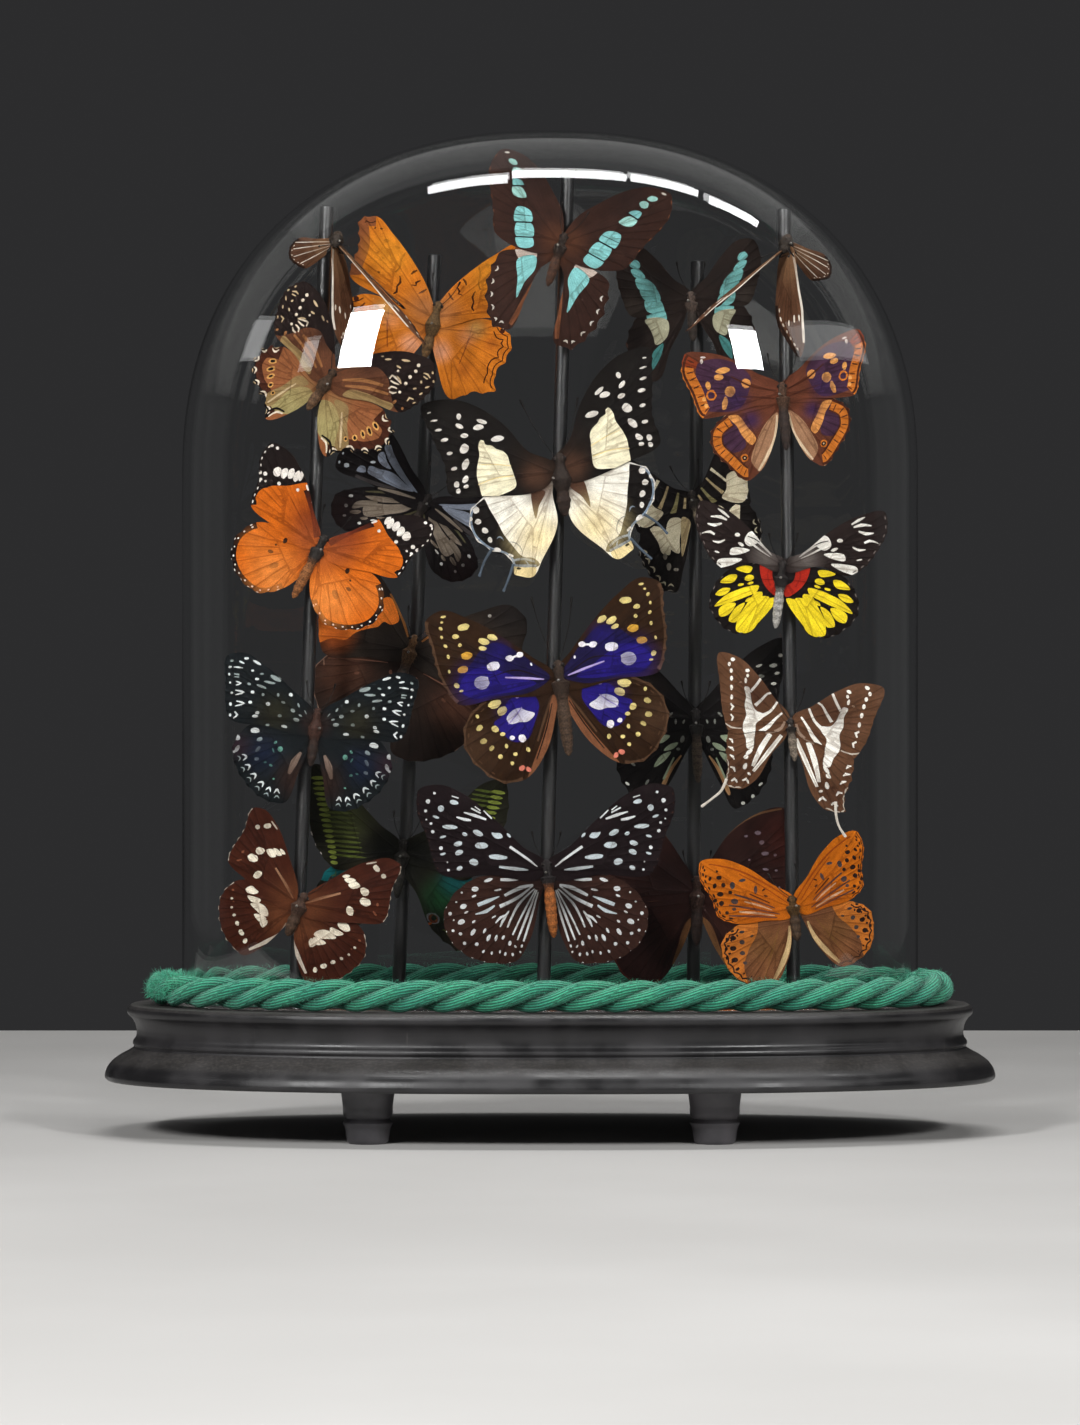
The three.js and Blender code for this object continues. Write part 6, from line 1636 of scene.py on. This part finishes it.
def make_foot(name, x, y, paint):
    piece = Piece()
    curve, _ = smooth_line(FOOT_PROFILE, 0.7, False)
    sides = 56
    angles = [2 * math.pi * k / sides for k in range(sides)]
    points = [[x, y, 0]]
    for radius, height in curve:
        points += [[x + radius * math.cos(a), y + radius * math.sin(a), height] for a in angles]
    points.append([x, y, FOOT_TOP])
    piece.add(points, closed_sweep(len(curve), sides), WHITE)
    settle(piece.build(f"{name}_turned", [paint], 35), name, "ebonised")


def rod_point(rod, height):
    share = (height - ROD_BOTTOM) / (rod["top"] - ROD_BOTTOM)
    x, y = (start + (end - start) * share for start, end in zip(rod["foot"], rod["head"]))
    return np.array([x, y, height])


def make_rod(rod, lacquer):
    piece = Piece()
    top = rod["top"]
    heights = [*np.linspace(ROD_BOTTOM, top - 1.2, 90), top - 0.5, top - 0.15, top]
    shares = [0.985 + 0.02 * noise.noise(Vector((height * 0.05, rod["foot"][0], 0))) for height in heights]
    shares[-3:] = [0.97, 0.85, 0.6]
    path = [rod_point(rod, height) for height in heights]
    add_tube(piece, path, [ROD_RADIUS * share for share in shares], 28, WHITE)
    settle(piece.build(f"{rod['name']}_dowel", [lacquer], 40), rod["name"], "rod")


def bell(bottom):
    """The outside of the dome from the rim up: (half width, half depth, height) and the share of its
    thickness that the glass keeps."""
    # The ring just over the rim keeps the rim's roundness out of the wall's shading
    walls = [bottom, bottom + 0.5] + [bottom + (SHOULDER - bottom) * k / 12 for k in range(1, 12)]
    profile = [(DOME_HALF_WIDTH, DOME_HALF_DEPTH, height) for height in walls]
    kept = [1] * len(walls)
    steps = 40
    for k in range(steps):
        angle = (k / steps) * math.pi / 2
        across = math.cos(angle) ** (2 / CROWN_POWER)
        height = SHOULDER + (DOME_TOP - SHOULDER) * math.sin(angle) ** (2 / CROWN_POWER)
        profile.append((DOME_HALF_WIDTH * across, DOME_HALF_DEPTH * across, height))
        kept.append(1 - THINNING * math.sin(angle) ** 2)
    return profile, np.array(kept)


def make_dome(glass):
    piece = Piece()
    sides = 200
    angles, _ = even_angles(sides, DOME_HALF_WIDTH, DOME_HALF_DEPTH)
    profile, kept = bell(DOME_BOTTOM + RIM)
    outside = np.array([[[*oval_point(a, half_width, half_depth), height] for a in angles]
                        for half_width, half_depth, height in profile])
    along = np.roll(outside, -1, axis=1) - np.roll(outside, 1, axis=1)
    normal = np.cross(along, np.gradient(outside, axis=0))
    normal /= np.linalg.norm(normal, axis=2)[:, :, None]
    inward = GLASS * kept[:, None, None] * normal
    rings = list((outside - inward)[::-1])
    for share, rise in RIM_ROUND:
        ring = outside[0] - inward[0] * share
        ring[:, 2] = DOME_BOTTOM + rise
        rings.append(ring)
    rings += list(outside)
    points = [[0, 0, DOME_TOP - GLASS * (1 - THINNING)], *np.concatenate(rings), [0, 0, DOME_TOP]]
    piece.add(points, closed_sweep(len(rings), sides), WHITE)
    dome = settle(piece.build("glass_shade", [glass], 180), "dome", "glass")
    dome.visible_shadow = False
    dome.visible_diffuse = False


# The rope

STRANDS = 3
STRAND_RADIUS = 3.4
STRAND_ORBIT = 2.9
ROPE_TURNS = 15
FUZZ = 7000
FRAYED = 1300  # of the hairs, longer ones at the cut end on the left
YARNS = 18
YARN_TURN = 0.12  # radians for each mm, which lays the yarns along the rope
FUZZ_HAIR = (1.7, 0.075)  # length and radius
FRAYED_HAIR = (3.4, 0.13)
FRAY_PLACE = 0.534  # share of the way round, at the front left
FRAY_SPREAD = 0.009


def rope_frames(count):
    """Points evenly round the rope's middle line, each with its outward direction."""
    angles, length = even_angles(count, ROPE_HALF_WIDTH, ROPE_HALF_DEPTH)
    line = np.array([oval_point(a, ROPE_HALF_WIDTH, ROPE_HALF_DEPTH) for a in angles])
    ahead = np.roll(line, -1, axis=0) - np.roll(line, 1, axis=0)
    ahead /= np.linalg.norm(ahead, axis=1)[:, None]
    return line, np.column_stack([ahead[:, 1], -ahead[:, 0]]), length


def make_rope(cotton):
    piece = Piece()
    count, sides = 760, 26
    line, outward, length = rope_frames(count)
    middle = PLINTH_TOP + ROPE_LIFT + ROPE_RADIUS
    # deep is a painted shade: the dark green laid in the grooves between the strands, where shade falls
    green, deep = np.array(linear("3a9a7b")), np.array(linear("0f4a38"))
    for strand in range(STRANDS):
        points, rays, shade = [], [], []
        for i in range(count):
            share = i / count
            turn = 2 * math.pi * (ROPE_TURNS * share + strand / STRANDS)
            sway = 0.25 * noise.noise(Vector((share * 40, strand * 7, 0)))
            orbit = STRAND_ORBIT * (1 + 0.08 * noise.noise(Vector((share * 60, strand * 3, 5))))
            out, up = math.cos(turn + sway), math.sin(turn + sway)
            centre = np.array([*(line[i] + outward[i] * orbit * out), middle + orbit * up])
            away = np.array([*(outward[i] * out), up])
            beside = np.array([*(outward[i] * -up), out])
            for k in range(sides):
                angle = 2 * math.pi * k / sides
                radius = STRAND_RADIUS * (1 - 0.06 * abs(math.sin(angle)))
                points.append(centre + radius * (away * math.cos(angle) + beside * math.sin(angle)))
                rays.append([YARNS * (angle + length * share * YARN_TURN), 0, 0])
                shade.append(0.5 + 0.5 * math.cos(angle))
        points = np.array(points)
        points[:, 2] = np.maximum(points[:, 2], PLINTH_TOP + ROPE_FLAT)
        faces = ring_faces(count, sides, 0, True)
        # Painted shade: each strand goes from green on its outer side to deep in the grooves between the
        # strands
        blend = np.clip((np.array(shade) - 0.34) * 2.4, 0, 1)[np.array(faces).ravel()]
        piece.add(points, faces, deep + (green - deep) * blend[:, None], 0, ray=np.array(rays))
    roots, ways = [], []
    for k in range(FUZZ):
        i = random.randrange(count) if k > FRAYED else int(random.gauss(FRAY_PLACE, FRAY_SPREAD) * count)
        turn = random.uniform(-0.5, math.pi + 0.5)
        away = np.array([*(outward[i] * math.cos(turn)), math.sin(turn)])
        roots.append(np.array([*line[i], middle]) + away * ROPE_RADIUS * random.uniform(0.8, 0.97))
        ways.append(away * 0.5 + np.array([random.uniform(-1.2, 1.2) for _ in range(3)]))
    hair_tints = [green * 1.3, green, green * 0.6]
    add_hairs(piece, roots[:FRAYED], ways[:FRAYED], *FRAYED_HAIR, hair_tints)
    add_hairs(piece, roots[FRAYED:], ways[FRAYED:], *FUZZ_HAIR, hair_tints)
    settle(piece.build("green_rope", [cotton], 180), "rope_ring", "rope")


# The butterflies

def add_body(piece, specimen):
    head, tail, radius = specimen["body"]
    head, tail = (np.array(seen(end), float) for end in (head, tail))
    thorax_tint, tail_tint = (np.array(linear(t)) for t in specimen["body_tints"])
    length = np.linalg.norm(tail - head)
    along = (tail - head) / length
    middle = min(0.45, np.linalg.norm(head) / length)
    waist = middle + 0.2
    stops = [0, 0.02, 0.10, 0.17, 0.22, middle, middle + 0.12, waist, middle + 0.35, 0.85, 0.96, 1.0]
    sizes = [0.2, 0.42, 0.56, 0.46, 0.5, 1.0, 0.8, 0.55, 0.72, 0.6, 0.38, 0.12]
    stops = list(np.maximum.accumulate(stops))
    origin = specimen["origin"]
    path, radii, tints = [], [], []
    for k in range(44):
        share = k / 43
        ring = np.interp(share, stops, sizes)
        segment = math.cos((share - middle) * length * 2.2)
        if share > waist:
            ring *= 1 + 0.05 * segment
        path.append(head + along * length * share + origin)
        radii.append(radius * ring)
        blend = min(1, max(0, (share - middle - 0.12) / 0.12))
        band = 0.8 + 0.2 * segment if blend > 0.5 else 1
        tints.append((thorax_tint * (1 - blend) + tail_tint * blend) * band)
    add_tube(piece, path, radii, 18, tints, 1, 0.9)
    side = np.cross(along, [0, 1, 0.01])
    side /= np.linalg.norm(side)
    front = np.cross(side, along)
    if front[1] > 0:
        front = -front
    for way in (-1, 1):
        centre = head + along * radius * 0.55 + side * way * radius * 0.42 + front * radius * 0.1 + origin
        add_ball(piece, centre, radius * 0.26, linear("1a1210"), 1)
    roots, ways, hair_tints = [], [], []
    for _ in range(BODY_HAIRS):
        share = random.uniform(0.08, waist)
        turn = random.uniform(0, 2 * math.pi)
        away = side * math.cos(turn) + front * math.sin(turn)
        size = radius * np.interp(share, stops, sizes)
        roots.append(head + along * length * share + away * size * 0.92 + origin)
        ways.append(away + along * random.uniform(0.5, 1.8))
        hair_tints.append(thorax_tint * random.uniform(0.8, 2.2))
    add_hairs(piece, roots, ways, *BODY_HAIR, hair_tints, 1)


def add_limbs(piece, specimen, under):
    """Clubbed antennae and the four walking legs folded under the thorax."""
    head, _, radius = specimen["body"]
    head = np.array(seen(head), float)
    origin = specimen["origin"]
    ahead = head / np.linalg.norm(head)
    across = np.cross(under, ahead)
    across /= np.linalg.norm(across)
    dark = linear("17110e")
    root = head * 0.7
    for number, side in enumerate((-1, 1)):
        way = ahead * math.cos(ANTENNA_SPREAD) + across * side * math.sin(ANTENNA_SPREAD)
        end = root + way * ANTENNA - under * 3
        if "antennae" in specimen:
            end = np.array(seen(specimen["antennae"][number], 3), float)
        path, radii = [], []
        for k in range(15):
            share = k / 14
            bow = across * side * 1.2 * math.sin(math.pi * share)
            path.append(root + (end - root) * share + bow + origin)
            club = min(1, max(0, share - 0.82) / 0.18)
            radii.append(0.15 + 0.3 * math.sin(club * math.pi * 0.75))
        add_tube(piece, path, radii, 6, dark, 1)
        for share in (0, 0.5):
            hip = head * share
            knee = hip + across * side * radius * 1.1 + under * (radius + 0.9)
            foot = hip + across * side * radius * 0.4 + under * (radius + 1.5) - ahead * 3.2
            leg = [point + origin for point in (hip, (hip + knee) / 2, knee, (knee + foot) / 2, foot)]
            add_tube(piece, leg, [0.4, 0.34, 0.24, 0.18, 0.1], 6, dark, 1)


def add_pin(piece, specimen):
    thorax = specimen["origin"]
    target = rod_point(RODS[specimen["rod"]], thorax[2]) - thorax
    size = np.linalg.norm(target)
    end = thorax + target * (size - ROD_RADIUS - 0.3) / size
    front = thorax - target / size * (specimen["body"][2] + 1.2)
    path = [front + (end - front) * k / 6 for k in range(7)]
    add_tube(piece, path, [PIN_RADIUS] * len(path), 8, WHITE, 2)
    add_ball(piece, front, PIN_HEAD, WHITE, 2)


def add_tail(piece, points, tint):
    """A hindwing's narrow tail through these points in space."""
    flat, _ = smooth_line(np.array(points)[:, [0, 2]], STEP, False)
    depth = np.linspace(points[0][1], points[-1][1], len(flat))
    path = np.column_stack([flat[:, 0], depth, flat[:, 1]])
    share = np.linspace(0, 1, len(path))
    radii = 0.6 - 0.25 * share + 0.2 * np.exp(-((share - 0.9) / 0.1)**2)
    add_tube(piece, path, radii, 8, linear(tint), 0, 0.4)


def cut_wings(specimen):
    """Cuts the fore and hind wing of one side, and says where the thorax is."""
    x, z = specimen["at"]
    specimen["origin"] = rod_point(RODS[specimen["rod"]], z) * [0, 1, 0] + [x, -STAND_OFF, z]
    wings = []
    for k, part in enumerate(("fore", "hind")):
        wing = Wing(specimen[part], specimen["margin"][k], specimen["teeth"][k], specimen["veins"][k])
        wings.append(wing.cut(specimen["ground"][k], specimen[f"{part}_marks"], specimen["colours"]))
    return wings


def make_pinned(specimen, steel):
    piece = Piece()
    wings = cut_wings(specimen)
    origin = specimen["origin"]
    behind = origin + [0, UNDERLAP, 0]
    tips, far_tips, lift = specimen["tips"], specimen["far_tips"], specimen["lift"]
    for side in (0, 1):
        ends = [seen(end, lift[2 * side + k]) for k, end in enumerate(far_tips if side else tips)]
        hang = hanger(tips, ends)
        add_wing(piece, wings[0], hang, 0, origin)
        add_wing(piece, wings[1], hang, UNDERLAP, origin)
        if side and "far_tails" in specimen:
            tails = [[seen(point, lift[3]) for point in tail] for tail in specimen["far_tails"]]
        else:
            tails = [np.array(tail) @ hang[0].T for tail in specimen.get("tails", [])]
        for tail in tails:
            add_tail(piece, np.array(tail) + behind, specimen["tail_tint"])
    finish_butterfly(piece, specimen, np.array([0, 1.0, 0]), steel)


def make_tilted(specimen, steel):
    piece = Piece()
    wings = cut_wings(specimen)
    for side in (0, 1):
        fore_ends, hind_ends = ([seen(end) for end in specimen[f"{part}_ends"][side]]
                                for part in ("fore", "hind"))
        add_wing(piece, wings[0], hanger(FORE_TIPS, fore_ends), 0, specimen["origin"])
        add_wing(piece, wings[1], hanger(HIND_TIPS, hind_ends), UNDERLAP, specimen["origin"])
    finish_butterfly(piece, specimen, np.array([0, 0, -1.0]), steel)


def finish_butterfly(piece, specimen, under, steel):
    add_body(piece, specimen)
    add_limbs(piece, specimen, under)
    add_pin(piece, specimen)
    name = specimen["name"]
    wing = wing_material(f"{name}_wing", specimen.get("under_tint", "6a5444"))
    thing = piece.build(f"{name}_specimen", [wing, body_material(f"{name}_body"), steel])
    settle(thing, f"butterfly_{name}", name)


# Putting it together

paint = black_paint("ebonised_paint", 0.28, 0.52)
make_plinth(paint)
# The feet take the same black paint made 4.5 times lighter, a painted light for the light that falls on them
feet_paint_painted_light = black_paint("feet_black_painted_light", 0.3, 0.5, 4.5)
for name, (x, y) in FEET.items():
    make_foot(name, x, y, feet_paint_painted_light)
lacquer = lacquer_material()
for rod in RODS:
    make_rod(rod, lacquer)
make_rope(rope_material())
make_dome(glass_material())
steel = steel_material()
for specimen in SPECIMENS:
    make_pinned(specimen, steel)
for specimen in TILTED:
    make_tilted({**BROWN, **specimen}, steel)

# Floor, lights and camera

floor_mesh = bpy.data.meshes.new("floor")
corners = [(-1.6, -0.95, 0), (1.6, -0.95, 0), (1.6, 0.7, 0), (-1.6, 0.7, 0)]
floor_mesh.from_pydata(corners, [], [(0, 1, 2, 3)])
floor_mesh.materials.append(floor_material())
floor = bpy.data.objects.new("floor", floor_mesh)
bpy.context.scene.collection.objects.link(floor)


def add_light(name, place, target, width, height, power):
    """A rectangle of white light; places and sizes in metres, power in watts."""
    light = bpy.data.lights.new(name, "AREA")
    light.shape = "RECTANGLE"
    light.size, light.size_y = width, height
    light.energy = power
    thing = bpy.data.objects.new(name, light)
    thing.location = place
    thing.rotation_euler = (Vector(target) - Vector(place)).to_track_quat("-Z", "Y").to_euler()
    bpy.context.scene.collection.objects.link(thing)


AIM = (0, 0, 0.3)
add_light("key_left", (-0.86, -1.61, 1.03), AIM, 0.26, 0.4, 27)
add_light("key_right", (0.92, -1.62, 0.97), AIM, 0.22, 0.27, 17)
add_light("soft_far_left", (-1.74, -0.57, 1.1), AIM, 0.42, 0.32, 1.2)
add_light("soft_left", (-1.26, -1.4, 0.95), AIM, 0.16, 0.22, 0.35)
add_light("soft_far_right", (1.6, -0.75, 1.05), AIM, 1.3, 0.25, 1.6)
CEILING = [(-0.33, -0.5, 2.15), (0.09, -0.4, 2.2), (0.51, -0.37, 2.17), (0.93, -0.4, 2.0)]
for k, (x, y, z) in enumerate(CEILING):
    add_light(f"ceiling_{k}", (x, y, z), (x, y + 0.3, 0), 0.405, 0.2, 5.6)
add_light("ceiling_glow", (0, 0.6, 2.4), (0, 0.6, 0), 3.8, 1.8, 5.4)
add_light("wall_left", (-1.9, 0.5, 1.2), (0, 0.5, 1.2), 1.7, 2.4, 0.45)
add_light("wall_right", (1.9, 0.5, 1.2), (0, 0.5, 1.2), 1.7, 2.4, 0.7)

world = bpy.data.worlds.new("studio")
world.use_nodes = True
background = world.node_tree.nodes["Background"]
background.inputs["Color"].default_value = (0.0255, 0.0255, 0.0265, 1)
background.inputs["Strength"].default_value = 1.0
bpy.context.scene.world = world
bpy.context.scene.view_settings.view_transform = "Standard"

camera_data = bpy.data.cameras.new("camera")
camera_data.sensor_fit = "VERTICAL"
camera_data.sensor_height = 24
camera_data.lens = 92.63
camera = bpy.data.objects.new("camera", camera_data)
camera.location = (-0.004, -2.2, 0.1677)
camera.rotation_euler = (math.pi / 2, 0, 0)
bpy.context.scene.collection.objects.link(camera)
bpy.context.scene.camera = camera
